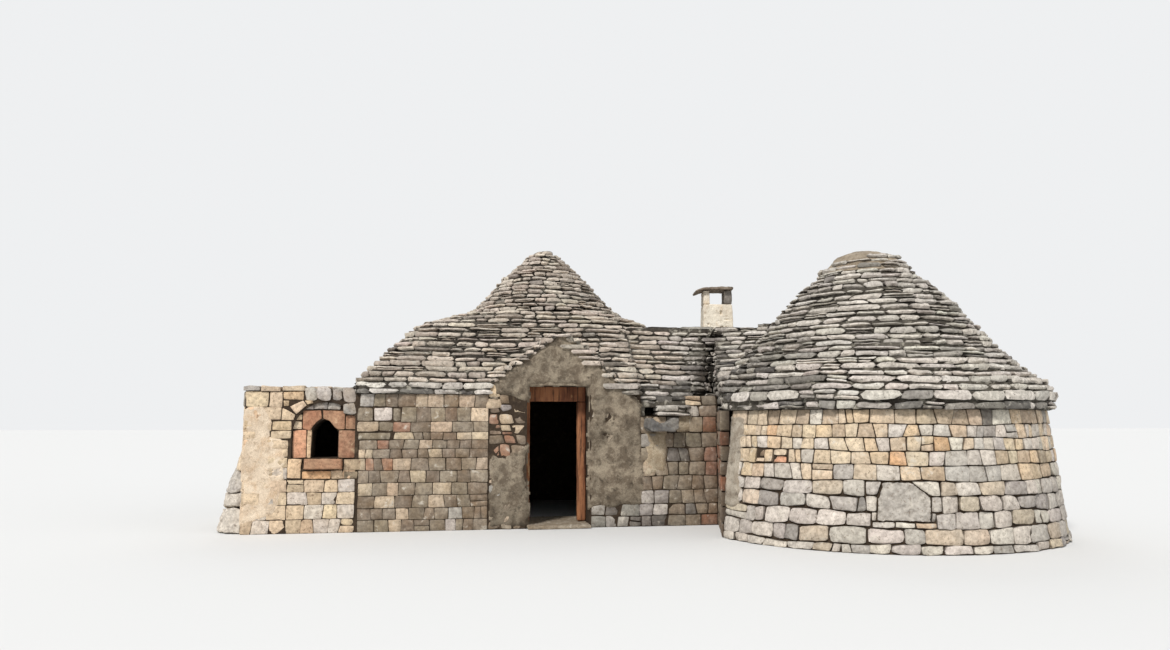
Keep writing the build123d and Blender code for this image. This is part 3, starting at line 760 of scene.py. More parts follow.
def slab_tints(x, y, z):
    """Slabs are grey on the round roof, paler on the middle slope, dark at eaves, and dark in and
    beside the gap as painted shade.
    """
    count = len(x)
    tint = pick(GREYS, (4, 3.4, 2, 1.6, 0.8), count)
    pale = (x < GAP[0]) & (z > 2.1)
    tint[pale] = pick(PINKS, (4, 3, 2, 1.4, 0.5), pale.sum())
    # painted shade: many slabs in the gap between the roofs and beside it get dark tints
    gap = (x > GAP[0]) & (x < GAP[1]) & (y < 0.2) & (y > -0.4)
    low = gap | (z < 1.8) | ((x < 2.4) & (z < 2.05))
    left = (x > GAP[0]) & (x < 2.9) & (y < 0.2) & (z > 1.9) & (z < 2.7)
    dark = (low & (rng.uniform(0, 1, count) < 0.5)) | (left & (rng.uniform(0, 1, count) < 0.35))
    tint[dark] = pick(DARK_AND_SHADE_GREYS, (4, 2, 3, 1.2, 1.4), dark.sum())
    bright = (x > 3.0) & (z > 1.84) & (z < 2.4)
    tint[bright] = held(tint[bright] * 1.4)
    return tint


def slab_cells(surface, low, high, tight):
    """Corners of a course's slabs, and how much painted shade their joints get."""
    joints = joints_along(surface.length, 0.15, 0.66 if low < 3.4 else 0.44)
    joints = joints + (rng.uniform(0, 0.4) if surface.closed else 0)
    count = len(joints) - 1
    bottom, top = low + rng.normal(0, 0.006, count + 1), high + rng.normal(0, 0.006, count + 1)
    slant = rng.normal(0, 0.018, count + 1)
    below, above = np.c_[joints - slant, bottom], np.c_[joints + slant, top]
    corners = np.stack([below[:-1], below[1:], above[1:], above[:-1]], 1)
    corners[:, 2:, 1] -= tight * (rng.uniform(0.004, 0.016, (count, 2))
                                  + 0.02 * rng.beta(1, 3, (count, 1)))
    shade = np.ones(count)
    if not surface.closed:  # the ends of a slope show, so their sides get little painted shade
        shade[[0, -1]] = 0.15
    # some places in a course are filled by two thin slabs
    double = rng.uniform(0, 1, count) < (0.16 if high - low > 0.085 else 0.06)
    cut = corners[:, :2] + (corners[:, [3, 2]] - corners[:, :2]) * rng.uniform(0.4, 0.6,
                                                                              (count, 2, 1))
    upper = np.concatenate([cut, corners[:, 2:]], 1)[double]
    corners[double, 2:] = cut[double, ::-1]
    return np.concatenate([corners, upper]), np.concatenate([shade, shade[double]])[:, None]


def slab_depths(centre, out, above, edge, edge_out):
    """How far slabs with these middles reach in.

    above are the lines of the next course, edge and edge_out all points of this one."""
    depth = rng.uniform(0.26, 0.34, len(centre))
    if above:  # on a shallow slope they reach in under the next course
        tread = distances(centre, np.concatenate(above)).min(1)
        depth = np.where(tread < 0.6, np.maximum(depth, tread + 0.12), depth)
    # at a ridge or a top, slabs reach no further in than half way
    apart = distances(centre, edge)
    apart[out[:, :2] @ edge_out.T > -0.3] = 9
    return np.minimum(depth, np.maximum(0.5 * apart.min(1), 0.05))


piles = {name: Pile(SLAB) for name in ("annex_front", "annex_back", "house_front", "house_back")}
for low, high, top in zip(LEVELS, LEVELS[1:], [*LEVELS[2:], LEVELS[-1]]):
    outlines = [LevelLine(line, closed) for line, closed in slab_lines(low, high)]
    if not outlines:
        continue
    above = [line for line, _ in slab_lines(high, top)]
    tight = 0.6 if 1.8 < low < 2.5 else 1.0  # the lowest courses lie close
    edge = np.concatenate([outline.line for outline in outlines])
    edge_out = np.concatenate([outline.out for outline in outlines])
    for surface in outlines:
        corners, shade = slab_cells(surface, low, high, tight)
        count = len(corners)
        centre, out = surface(corners[:, :, 0].mean(1), np.full(count, low))
        x, y = centre[:, 0], centre[:, 1]
        tint = slab_tints(x, y, np.full(count, low))
        proud = rng.normal(0.002, 0.018, count).clip(-0.032, 0.032)
        if low < 2.1:  # the lowest courses of the house lie a little back
            proud[x < 2.5] -= 0.02
        if low > 3.75:  # the top ones of the round roof stand out under its cap
            proud[x > 3.5] += 0.035
        depth = slab_depths(centre, out, above, edge, edge_out)
        # the round roof lies right of the valley, and each roof has a front and a back pile
        annex = (x > GAP[1]) | ((x > 2.0) & (y < -0.25))
        front = y < np.where(annex, -1.0, 1.9)
        # the mortar cap of the round roof shows behind and at the left of the top slabs
        turn = np.arctan2(y - CENTRE[1], x - CENTRE[0])
        laid = ~annex | (low <= 3.93 + 0.09 * np.cos(turn + 1.31))
        for name, mask in (("annex_front", annex & front), ("annex_back", annex & ~front),
                           ("house_front", ~annex & front), ("house_back", ~annex & ~front)):
            mask &= laid
            piles[name].lay(corners[mask], surface, depth[mask], proud[mask], tint[mask],
                            gap=0.019 * tight, lift=0.018, round_off=0.16, rough=0.013,
                            tread=True, shade=shade[mask])

for name, pile in piles.items():
    pile.build(f"{name}_slabs", ROOF_STONE, "roof_slabs")


def roof_core(name, names, inset=0.06):
    """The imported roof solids, drawn in under the slabs that lie on them."""
    forms = []
    for points, faces in map(form_of, names):
        a, b, c = (points[faces[:, i]] for i in range(3))
        out = np.cross(b - a, c - a)
        facing = unit(out)
        outer = facing[:, 2] > 0.1
        middle = (a + b + c) / 3
        for i in np.flatnonzero((abs(facing[:, 2]) <= 0.35) & ~outer):
            beside = middle[i] + facing[i] * (0.05, 0.05, 0)
            outer[i] = above_tree.ray_cast(Vector(beside), UP)[0] is None
        push = np.zeros_like(points)
        for corner in range(3):
            np.add.at(push, faces[outer, corner], out[outer])
        forms.append((points - inset * unit(push), faces))
    solid(name, *joined(forms), ROOF_CORE, "roof_slabs", names)


for name, heads in (("annex", ("annex_cone", "annex_eaves")),
                    ("house", ("roof_", "house_", "gable_")), ("link", "link_")):
    roof_core(f"{name}_roof_core", [n for n in ROOF_NODES if n.startswith(heads)])


# ----- walls ----------------------------------------------------------------------------

CREAM, STRAW, ORANGE, PEACH = (234, 211, 181), (232, 206, 170), (230, 186, 140), (234, 200, 165)
PALE, ASH, GREY, DARK = (222, 212, 199), (202, 194, 185), (174, 167, 160), (112, 105, 99)
SAND, TAN, TAUPE, BROWN = (214, 197, 174), (205, 182, 154), (152, 136, 115), (134, 114, 93)
CLAY, SIENNA, EMBER, RUST = (176, 130, 102), (180, 130, 102), (250, 186, 148), (144, 104, 82)


def plane(start, way, up=(0, 0, 1)):
    """A flat surface: u metres along `way` from `start`, and v metres along `up`."""
    start, up = np.array([*start, 0.0][:3]), np.array(up, float)
    way = np.array([*way, 0.0]) / math.hypot(*way)

    def surface(u, v):
        u, v = np.broadcast_arrays(u, v)
        point = start + u[..., None] * way + v[..., None] * up
        return point, np.broadcast_to(np.cross(way, up), point.shape)
    return surface


# the round trullo's wall: the turn at its sharp corner, the radius at which u is measured,
# how far it runs, where its hidden back begins, and from what height its stones are smaller
START, ROUND_AT = math.radians(191.3), 2.5
ROUND, HIDDEN = ROUND_AT * (math.radians(446) - START), 5.6
SMALLER = 0.87


def drum(u, v):
    """Its battered face as a surface, from the corner round to the right and the back."""
    turn, radius = START + u / ROUND_AT, 2.58 - 0.12 * v
    out = np.stack([np.cos(turn), np.sin(turn), 0 * turn], -1)
    return np.stack([CENTRE[0] + radius * out[..., 0], CENTRE[1] + radius * out[..., 1], v],
                    -1), out


def bed(levels, k, u, wave):
    """Height of the bed joint under course k, which wanders a little."""
    if k in (0, len(levels) - 1):
        return np.full_like(u, levels[k])
    return levels[k] + wave * (np.sin(u * 2.3 + k * 1.7) + 0.7 * np.sin(u * 6.1 + k * 4.3)) / 1.5


def courses(levels, start, stop, widths, wave=0.012, lean=0.012, split=0.08, cleave=0.0):
    """Cells of a coursed wall from u = start to stop.

    widths gives the shortest and longest stone of every course, or of each. Some stones are
    split into two thin ones, and some in two side by side."""
    cells = []
    for k in range(len(levels) - 1):
        small, large = widths[k] if isinstance(widths, list) else widths
        joints = start + joints_along(stop - start, small, large)
        slant = rng.normal(0, lean, len(joints))
        slant[[0, -1]] = 0
        low, high = (np.c_[u, bed(levels, row, u, wave)]
                     for u, row in ((joints - slant, k), (joints + slant, k + 1)))
        for a, b, c, d in zip(low, low[1:], high[1:], high):
            draw = rng.uniform()
            if draw < split:
                f, g = rng.uniform(0.35, 0.65, 2)
                m, n = a + (d - a) * f, b + (c - b) * g
                cells += [(a, b, n, m), (m, n, c, d)]
            elif draw < split + cleave:
                f, g = rng.uniform(0.4, 0.6, 2)
                m, n = a + (b - a) * f, d + (c - d) * g
                cells += [(a, m, n, d), (m, b, c, n)]
            else:
                cells.append((a, b, c, d))
    return np.array(cells)


def clear(cells, *boxes):
    """Leave out the cells on the middle of a box (u0, u1, v0, v1) or inside it.

    The others are trimmed to it, and what is then too thin to be a stone goes too."""
    for u0, u1, v0, v1 in boxes:
        middle = cells.mean(1)
        inside = ((middle > (u0, v0)) & (middle < (u1, v1))).all(1)
        spot = ((u0 + u1) / 2, (v0 + v1) / 2)
        inside |= ((spot > cells.min(1)) & (spot < cells.max(1))).all(1)
        cells = cells[~inside].copy()
        u, v = cells[..., 0], cells[..., 1]
        hit = (u > u0) & (u < u1) & (v > v0) & (v < v1)
        nearest = np.stack([u - u0, u1 - u, v - v0, v1 - v]).argmin(0)
        for side, (axis, value) in enumerate(((u, u0), (u, u1), (v, v0), (v, v1))):
            axis[hit & (nearest == side)] = value
        wide = np.minimum(u[:, 1] - u[:, 0], u[:, 2] - u[:, 3])
        tall = np.minimum(v[:, 3] - v[:, 0], v[:, 2] - v[:, 1])
        cells = cells[~hit.any(1) | ((wide > 0.05) & (tall > 0.045))]
    return cells


def cut_rows(cells, *boxes):
    """Leave each box (u0, u1, v0, v1) free: the rows in it end at its sides."""
    for u0, u1, v0, v1 in boxes:
        made = []
        for cell in cells:
            left, right, middle = cell[[0, 3], 0].mean(), cell[[1, 2], 0].mean(), cell[:, 1].mean()
            if not v0 < middle < v1 or right <= u0 or left >= u1:
                made.append(cell)
                continue
            for side, value, room in (([1, 2], u0, u0 - left), ([0, 3], u1, right - u1)):
                if room > 0.035:
                    rest = cell.copy()
                    rest[side, 0] = value
                    made.append(rest)
        cells = np.array(made)
    return cells


def block(u0, u1, v0, v1, skew=0.008):
    """One stone's cell, a little out of square."""
    cell = np.array([(u0, v0), (u1, v0), (u1, v1), (u0, v1)], float)
    return cell + rng.normal(0, skew, (4, 2))


def lay_wall(pile, cells, surface, tint, proud=0.023, depth=0.11, vary=0.004, **look):
    """Lay the cells as stones. tint is a function of the stones' u, v middles."""
    if len(cells):
        count = len(cells)
        pile.lay(np.asarray(cells), surface, rng.uniform(0.9, 1.2, count) * depth,
                 proud + rng.normal(0, vary, count), tint(*np.mean(cells, 1).T),
                 **{"gap": 0.013, "lift": 0.013, "round_off": 0.08, "rough": 0.006, **look})


def mixed(*colours, shares=(1,)):
    """A tint function that picks each stone's colour with these shares."""
    return lambda u, v: pick(colours, shares, len(u))


def lay_singles(pile, stones, surface, skew=0.005, **look):
    """Lay single stones, each (u0, u1, v0, v1, colour)."""
    for *box, colour in stones:
        lay_wall(pile, [block(*box, skew)], surface, mixed(colour), **look)


FAR = 99  # no limit on this side of a zone
ALL = (-FAR, FAR, -FAR, FAR)


def zoned(*zones):
    """A tint function from (colours, shares, u0, u1, v0, v1) zones; the last that fits holds.

    A zone without a box is the whole wall."""
    def tint(u, v):
        made = np.zeros((len(u), 3))
        for colours, shares, *box in zones:
            u0, u1, v0, v1 = box or ALL
            mask = (u > u0) & (u < u1) & (v > v0) & (v < v1)
            made[mask] = pick(colours, shares, int(mask.sum()))
        return made
    return tint


# round trullo: rubble foot, large grey blocks, then small cream and orange ones
restart(11)
levels = [0, 0.11, 0.31, 0.50, 0.69, 0.87, 1.06, 1.235, 1.40, 1.56, 1.75]
widths = [(0.2, 0.45), (0.22, 0.5), (0.3, 0.52), (0.26, 0.46), (0.26, 0.48), (0.2, 0.42),
          (0.16, 0.32), (0.14, 0.26), (0.15, 0.26), (0.17, 0.42)]
cells = courses(levels, 0, ROUND, widths, wave=0.016, lean=0.011, split=0.035, cleave=0.06)
cells = cut_rows(cells, (0.58, 1.10, 1.06, 1.235), (2.13, 3.03, 0.50, 0.87),
                 (2.20, 2.95, 0.31, 0.50))
WARM, COOL = (CREAM, STRAW, PALE, ORANGE, TAN), (ASH, PALE, GREY, SAND)
drum_tint = zoned(((PALE, CREAM, ASH, TAN), (4, 3, 3, 1)),
                  (WARM, (3, 2, 3, 0.6, 2), -FAR, 1.2, SMALLER, FAR),
                  (WARM, (4, 3, 2, 1.6, 1), 1.2, 3.1, 1.0, FAR),
                  ((ASH, PALE, CREAM, GREY, TAN), (3, 3, 2, 1, 1), 3.1, 4.3, SMALLER, FAR),
                  (WARM, (3.4, 1.5, 3, 0.3, 1.4), 4.3, HIDDEN, SMALLER, FAR),
                  ((CREAM, TAN, STRAW, GREY, PALE), (2, 2, 1, 0.8, 1), -FAR, 6, 1.56, FAR),
                  ((DARK, GREY, TAN), (2, 2, 1), 3.1, 3.9, 1.56, FAR),
                  (COOL, (3, 3, 1, 1.6), -FAR, FAR, 0.5, SMALLER),
                  (COOL, (4, 3, 1.2, 0.8), -FAR, FAR, -FAR, 0.5))
# the corners of the lower stones are a little uneven
low_rows = cells.mean(1)[:, 1] < SMALLER
cells[low_rows] += np.clip(rng.normal(0, 0.008, cells[low_rows].shape), -0.014, 0.014)
cells[..., 1] = np.maximum(cells[..., 1], 0)
# single stones, as (corners, colour, proud): those round two small holes where faces have
# broken away, and those that fill the rows beside the large five-sided stone
CHOSEN = [
    # the brown of the stone deep in the first hole is partly painted shade of the hole
    ([(0.60, 1.125), (0.73, 1.13), (0.73, 1.228), (0.605, 1.225)], BROWN, -0.045),
    ([(0.585, 1.065), (0.74, 1.06), (0.735, 1.118), (0.585, 1.118)], CREAM, -0.012),
    ([(0.745, 1.06), (0.875, 1.065), (0.88, 1.235), (0.74, 1.23)], STRAW, -0.01),
    ([(0.885, 1.06), (1.095, 1.06), (1.09, 1.145), (0.885, 1.15)], EMBER, -0.038),
    ([(0.885, 1.158), (1.095, 1.152), (1.10, 1.235), (0.885, 1.235)], CREAM, -0.012),
    ([(2.205, 0.315), (2.455, 0.312), (2.455, 0.383), (2.205, 0.385)], ASH, -0.012),
    ([(2.465, 0.312), (2.70, 0.315), (2.70, 0.378), (2.465, 0.383)], PALE, -0.014),
    ([(2.71, 0.315), (2.945, 0.312), (2.945, 0.375), (2.71, 0.378)], TAN, -0.012),
    ([(2.20, 0.395), (2.247, 0.395), (2.262, 0.495), (2.20, 0.495)], PALE, -0.014),
    ([(2.885, 0.385), (2.945, 0.385), (2.945, 0.495), (2.90, 0.495)], ASH, -0.014),
    ([(2.135, 0.505), (2.262, 0.505), (2.275, 0.685), (2.135, 0.69)], PALE, -0.012),
    ([(2.135, 0.70), (2.275, 0.70), (2.335, 0.865), (2.135, 0.868)], ASH, -0.014),
    ([(2.905, 0.505), (3.025, 0.505), (3.025, 0.685), (2.918, 0.685)], ASH, -0.012),
    ([(2.90, 0.70), (3.025, 0.695), (3.025, 0.868), (2.67, 0.868)], PALE, -0.014),
]
front, upper = cells.mean(1)[:, 0] < HIDDEN, cells.mean(1)[:, 1] > SMALLER
for name, mask, chosen in (("annex_front_blocks", front, CHOSEN),
                           ("annex_back_blocks", ~front, ())):
    pile = Pile(BLOCK)
    lay_wall(pile, cells[mask & upper], drum, drum_tint, proud=-0.012, vary=0.005, gap=0.012,
             lift=0.011, round_off=0.06)
    lay_wall(pile, cells[mask & ~upper], drum, drum_tint, proud=-0.012, vary=0.007, gap=0.011,
             lift=0.016, round_off=0.13, rough=0.014)
    for corners, colour, proud in chosen:
        lay_wall(pile, [corners], drum, mixed(colour), proud=proud, vary=0.002, gap=0.008,
                 round_off=0.12, rough=0.009)
    pile.build(name, WALL_STONE, "wall_stone")

# the large stone itself, cut to five sides, of which the left one bends
ring = np.array([(2.252, 0.389), (2.878, 0.384), (2.905, 0.68), (2.665, 0.868), (2.345, 0.862),
                 (2.272, 0.64)])
face, out = drum(*ring.T)
worn("large_wall_stone", [(np.concatenate([face + 0.012 * out, face - 0.12 * out]),
                           prism(ring, 0, 1)[1])],
     WALL_STONE, "wall_stone", voxel=0.012, wear=0.02, scale=5.5, rounds=4,
     tints=[(190, 183, 174)])

# the wall's core: its outside, which lies further out than INSIDE, is drawn in under the stones
INSIDE = 2.2
WALLS = sorted(n for n in nodes if n.startswith("annex_wall"))
forms = []
for points, faces in map(form_of, WALLS):
    spoke = points[:, :2] - CENTRE
    radius = np.linalg.norm(spoke, axis=1, keepdims=True)
    points[:, :2] -= np.where(radius > INSIDE, spoke / radius * 0.05, 0)
    forms.append((points, faces))
solid("annex_wall_core", *joined(forms), WALL_CORE, "wall_stone", WALLS)

# grey plaster left at its sharp corner
coat("annex_corner_plaster", drum, (-0.02, 0.42, 0.35, 1.72),
     [[(-0.03, 0.45), (0.20, 0.47), (0.27, 0.9), (0.22, 1.3), (0.30, 1.62), (-0.03, 1.66)]],
     CORNER_PLASTER, thick=0.012, seed=4.0)

# flank of the round trullo, in the gap
restart(12)
gap_tint = zoned(((BROWN, TAUPE, (116, 98, 82)), (3, 1, 3)),
                 ((RUST, BROWN, (158, 104, 76)), (2, 3, 2), -FAR, FAR, 0.7, 1.5))
pile = Pile(BLOCK)
lay_wall(pile, courses([0, 0.2, 0.42, 0.62, 0.84, 1.05, 1.25, 1.45, 1.75], 0, 1.55, (0.2, 0.5)),
         plane((2.52, 0.0), (-0.45, -1.5)), gap_tint, proud=0.01)
pile.build("flank_blocks", WALL_STONE, "wall_stone")

# house front left of the gable: squared grey-brown ashlar
restart(13)
ASHLAR = [0, 0.17, 0.34, 0.52, 0.70, 0.88, 1.06, 1.19, 1.325, 1.44, 1.59, 1.80, 2.0]
facade = plane((0.0, 0.0), (1, 0))
# the ashlar's browns are partly its own colour, partly painted shade of a tree's shadow
ashlar_tint = zoned(((TAUPE, BROWN, TAN, ASH, CLAY), (4, 4, 2, 1.4, 0.6)),
                    ((TAN, TAUPE, BROWN, CLAY), (3, 3, 2, 0.8), -FAR, -2.3, -FAR, 1.5),
                    ((BROWN, TAUPE, TAN, CREAM), (3, 3, 2, 1), -2.0, FAR, 1.2, FAR))
pile = Pile(BLOCK)
cells = clear(courses(ASHLAR, -2.94, -1.06, (0.15, 0.34), wave=0.006, lean=0.006, split=0.03,
                      cleave=0.06), (-2.96, -2.46, 1.32, 1.81))
lay_wall(pile, cells, facade, ashlar_tint, gap=0.007, round_off=0.04, lift=0.009, rough=0.005)
lay_singles(pile, [(-2.97, -2.66, 1.445, 1.59, TAN), (-2.655, -2.45, 1.45, 1.59, TAUPE),
                   (-2.95, -2.50, 1.33, 1.435, TAUPE), (-2.74, -2.47, 1.60, 1.81, PALE),
                   (-2.462, -2.345, 1.60, 1.79, TAUPE), (-2.97, -2.75, 1.60, 1.80, TAUPE),
                   (-1.06, -0.90, 1.955, 2.16, STRAW), (-1.10, -0.86, 1.78, 1.95, TAN)],
            facade, proud=0.022, gap=0.01, round_off=0.07)

# rubble that shows where the plaster has come away, and the squared foot of the wall
# the greys and dark tones at the foot are partly painted shade of a tree's shadow
rubble_tint = zoned(((BROWN, TAUPE, GREY, TAN), (4, 3, 1.6, 1.2)),
                    ((BROWN, CLAY, TAN, RUST), (3, 2, 2, 0.8), -FAR, -0.5, 1.0, 1.7),
                    ((GREY, (150, 146, 138), DARK, ASH), (3, 3, 1.4, 1), 0.4, FAR, -FAR, 0.5),
                    ((DARK, (134, 122, 104), TAUPE), (2.4, 3, 2), 1.66, 2.15, -FAR, FAR),
                    ((CREAM, PALE), (3, 1), 1.84, FAR, 1.42, FAR),
                    ((RUST, BROWN, TAUPE), (1.2, 3, 2), 2.15, FAR, -FAR, FAR))
rubble = {"gap": 0.018, "round_off": 0.16, "rough": 0.01}
# each patch's levels, its sides, and how its stones are cut and laid
for patch, start, stop, widths, cut, look in (
        ([0, 0.24, 0.46, 0.66, 0.86, 1.06, 1.24, 1.4, 1.56, 1.7, 1.84, 2.0], -1.05, -0.49,
         (0.12, 0.3), {"wave": 0.02, "lean": 0.025, "split": 0.12},
         {"proud": 0.012, "vary": 0.008, **rubble}),
        ([0, 0.17, 0.34], 0.5, 1.98, (0.16, 0.36), {"split": 0.06}, {"vary": 0.008}),
        ([0.34, 0.5, 0.68, 0.86, 1.04, 1.22, 1.42, 1.62, 1.82, 2.0], 0.5, 1.28, (0.14, 0.3),
         {"wave": 0.02, "split": 0.1}, {"proud": 0.002, "vary": 0.002, **rubble}),
        ([0.34, 0.55, 0.76, 0.98, 1.2, 1.42, 1.67], 1.28, 2.505, (0.15, 0.3), {"split": 0.05},
         {"gap": 0.01, "round_off": 0.07}),
        ([0, 0.17, 0.34], 1.98, 2.505, (0.16, 0.3), {}, {}),
        ([1.67, 1.84, 2.0], 2.0, 2.505, (0.16, 0.3), {}, {})):
    lay_wall(pile, courses(patch, start, stop, widths, **cut), facade, rubble_tint, **look)
pile.build("house_front_blocks", WALL_STONE, "wall_stone")

# mottled plaster round the door and up the gable; it has come away left of the door
coat("front_coat", facade, (-1.06, 1.42, 0.0, 2.94),
     [[(0.50, 0.30), (1.31, 0.33), (1.36, 0.75), (1.30, 1.2), (1.29, 1.64), (1.25, 1.97),
       (1.01, 2.05), (0.70, 2.37), (0.48, 2.62), (0.03, 2.91), (-1.0, 2.17), (-1.0, 1.98),
       (-0.49, 1.93), (-0.47, 2.16), (0.50, 2.16)],
      [(-1.03, 0.05), (-0.49, 0.05), (-0.49, 1.22), (-0.8, 1.02), (-1.03, 1.12)]],
     FRONT_PLASTER_SHADED, step=0.02, thick=0.028, relief=0.01, holes=0.95, seed=2.0)
coat("stripe_coat", facade, (1.25, 2.2, 0.7, 1.86),
     [[(1.345, 0.78), (1.70, 0.80), (1.69, 1.43), (1.35, 1.43)],
      [(1.86, 1.46), (2.12, 1.44), (2.10, 1.78), (1.88, 1.66)]],
     STRIPE_PLASTER, step=0.02, thick=0.03, ragged=0.03, seed=6.0)

# other outer walls of the house, the link and the oven wing, with long stones at the corners
restart(14)
plain_tint = zoned(((PALE, ASH, CREAM, TAUPE, GREY), (4, 3.4, 2, 1.4, 0.8)),
                   ((ASH, PALE, GREY), (4, 3, 1.4), -FAR, FAR, -FAR, 0.6))


def corner(pile, levels, place, way):
    """Long and short stones in turn up a corner; returns how far they reach on each wall.

    way is the direction of the wall that ends at the corner."""
    wall, reach = plane(place, way), ([], [])
    for k, (low, high) in enumerate(zip(levels, levels[1:])):
        long, short = rng.uniform(0.36, 0.46), rng.uniform(0.2, 0.26)
        here, there = (long, short) if k % 2 else (short, long)
        lay_wall(pile, [block(-here, 0.018, low, high, 0.004)], wall, plain_tint, depth=there,
                 proud=0.02, vary=0.002, round_off=0.05, shade=0.15)
        reach[0].append(here)
        reach[1].append(there)
    return reach


def walls_round(name, levels, corners):
    """Coursed walls along a run of corners, with a long stone at each corner but the ends."""
    pile = Pile(BLOCK)
    rows = len(levels) - 1
    spans = [[a, np.subtract(b, a), [0.0] * rows, [0.0] * rows]
             for a, b in zip(corners, corners[1:])]
    for first, second in zip(spans, spans[1:]):
        if np.linalg.det([first[1], second[1]]) >= 0:  # an inner corner needs none
            first[3], second[2] = corner(pile, levels, second[0], first[1])
    for start, way, begin, end in spans:
        for k, (low, high) in enumerate(zip(levels, levels[1:])):
            cells = courses([low, high], begin[k], math.hypot(*way) - end[k], (0.2, 0.48), wave=0)
            lay_wall(pile, cells, plane(start, way), plain_tint)
    pile.build(name, WALL_STONE, "wall_stone")


walls_round("house_back_blocks", [0, 0.2, 0.42, 0.62, 0.84, 1.04, 1.22, 1.42, 1.62, 1.82, 2.0],
            [(4.75, 1.35), (4.75, 2.95), (2.45, 2.95), (2.45, 6.0), (-3.0, 6.0), (-3.0, 2.6)])
walls_round("oven_side_blocks", [0, 0.22, 0.42, 0.62, 0.82, 1.0, 1.2, 1.4, 1.6, 1.8, 2.03],
            [(-3.0, 2.6), (-4.54, 2.6), (-4.54, 0.0)])

# oven front: the pier at its left, the stones of the relieving arch and the rows round them
restart(15)
PIER = [0, 0.2, 0.4, 0.58, 0.77, 0.94, 1.08, 1.20, 1.335, 1.46, 1.61, 1.80, 2.02]
pile = Pile(BLOCK)
pier_tint = zoned(((STRAW, PEACH, CREAM, PALE), (3, 2, 3, 1)),
                  ((CREAM, PALE, TAN), (2, 2, 1), -FAR, FAR, -FAR, 0.7))
snug = {"gap": 0.006, "round_off": 0.04, "lift": 0.009, "rough": 0.006, "shade": 0.8}
cells = clear(courses(PIER, -4.545, -3.93, (0.14, 0.32), wave=0.008, split=0.05, cleave=0.08),
              (-4.56, -3.80, 1.34, 2.04))
lay_wall(pile, cells, facade, pier_tint, proud=0.014, **snug)
cells = clear(courses(PIER[:6], -3.93, -2.98, (0.16, 0.32), wave=0.006, split=0.03),
              (-3.95, -3.13, 0.76, 1.08))
lay_wall(pile, cells, facade, pier_tint, proud=0.014, **snug)
# single stones beside and under the arch, as (x0, x1, z0, z1, colour)
SINGLE = [
    (-4.545, -4.215, 1.80, 2.02, CREAM), (-4.21, -4.03, 1.80, 2.02, CREAM),
    (-4.025, -3.735, 1.905, 2.02, PEACH), (-4.015, -3.935, 1.815, 1.90, STRAW),
    (-4.545, -4.30, 1.62, 1.795, PEACH), (-4.295, -4.045, 1.62, 1.795, CREAM),
    (-4.545, -4.36, 1.46, 1.61, STRAW), (-4.355, -4.165, 1.46, 1.61, CREAM),
    (-4.545, -4.38, 1.335, 1.455, CREAM), (-4.375, -4.18, 1.335, 1.455, PEACH),
    (-4.175, -3.888, 1.35, 1.46, CREAM), (-4.158, -3.884, 1.47, 1.605, STRAW),
    (-3.92, -3.735, 0.775, 1.06, PEACH), (-3.72, -3.33, 0.77, 0.885, ORANGE),
    (-3.325, -3.155, 0.77, 0.885, TAN), (-3.145, -2.90, 0.895, 1.05, TAN),
    (-3.145, -2.945, 0.77, 0.885, TAUPE), (-3.69, -3.16, 0.90, 0.93, CLAY),
]
lay_singles(pile, SINGLE, facade, proud=0.016, **snug)
# the stones of the arch, from the inner line outwards, as (x, z)
ARCH = [((-4.035, 1.612), (-3.866, 1.612), (-3.84, 1.69), (-4.02, 1.795)),
        ((-3.828, 1.695), (-3.69, 1.825), (-3.735, 1.897), (-3.925, 1.81)),
        ((-3.68, 1.83), (-3.60, 1.86), (-3.61, 1.90), (-3.728, 1.90))]
for cell in ARCH:
    lay_wall(pile, [cell], facade, mixed(STRAW, CREAM, shares=(1, 1)), proud=0.022, **snug)
# rough grey stones over the mouth, up to the cap
OVER = [(-3.72, -3.55, 1.885, 2.10), (-3.545, -3.36, 1.88, 2.105), (-3.355, -3.19, 1.885, 2.09),
        (-3.185, -2.99, 1.87, 2.09), (-3.19, -2.99, 1.70, 1.865)]
lay_wall(pile, [block(*box, 0.012) for box in OVER], facade,
         mixed(ASH, GREY, (150, 148, 144), shares=(1, 2, 1)), proud=0.02, round_off=0.3,
         gap=0.014, rough=0.012)
# sunk face under the arch
INNER = [(-3.89, -3.755, 1.61, 1.70, STRAW), (-3.89, -3.755, 1.48, 1.60, CREAM),
         (-3.74, -3.60, 1.77, 1.87, ASH), (-3.595, -3.40, 1.77, 1.875, GREY),
         (-3.395, -3.22, 1.765, 1.87, ASH), (-3.875, -3.685, 1.065, 1.475, EMBER),
         (-3.68, -3.615, 1.065, 1.475, PEACH), (-3.235, -2.985, 1.065, 1.47, SIENNA),
         (-3.88, -3.75, 1.72, 1.80, STRAW), (-3.14, -2.985, 1.48, 1.69, CLAY)]
lay_singles(pile, INNER, plane((0.0, 0.06), (1, 0)), skew=0.004, proud=0.02, **snug)
pile.build("oven_front_blocks", OVEN_STONE, "wall_stone")

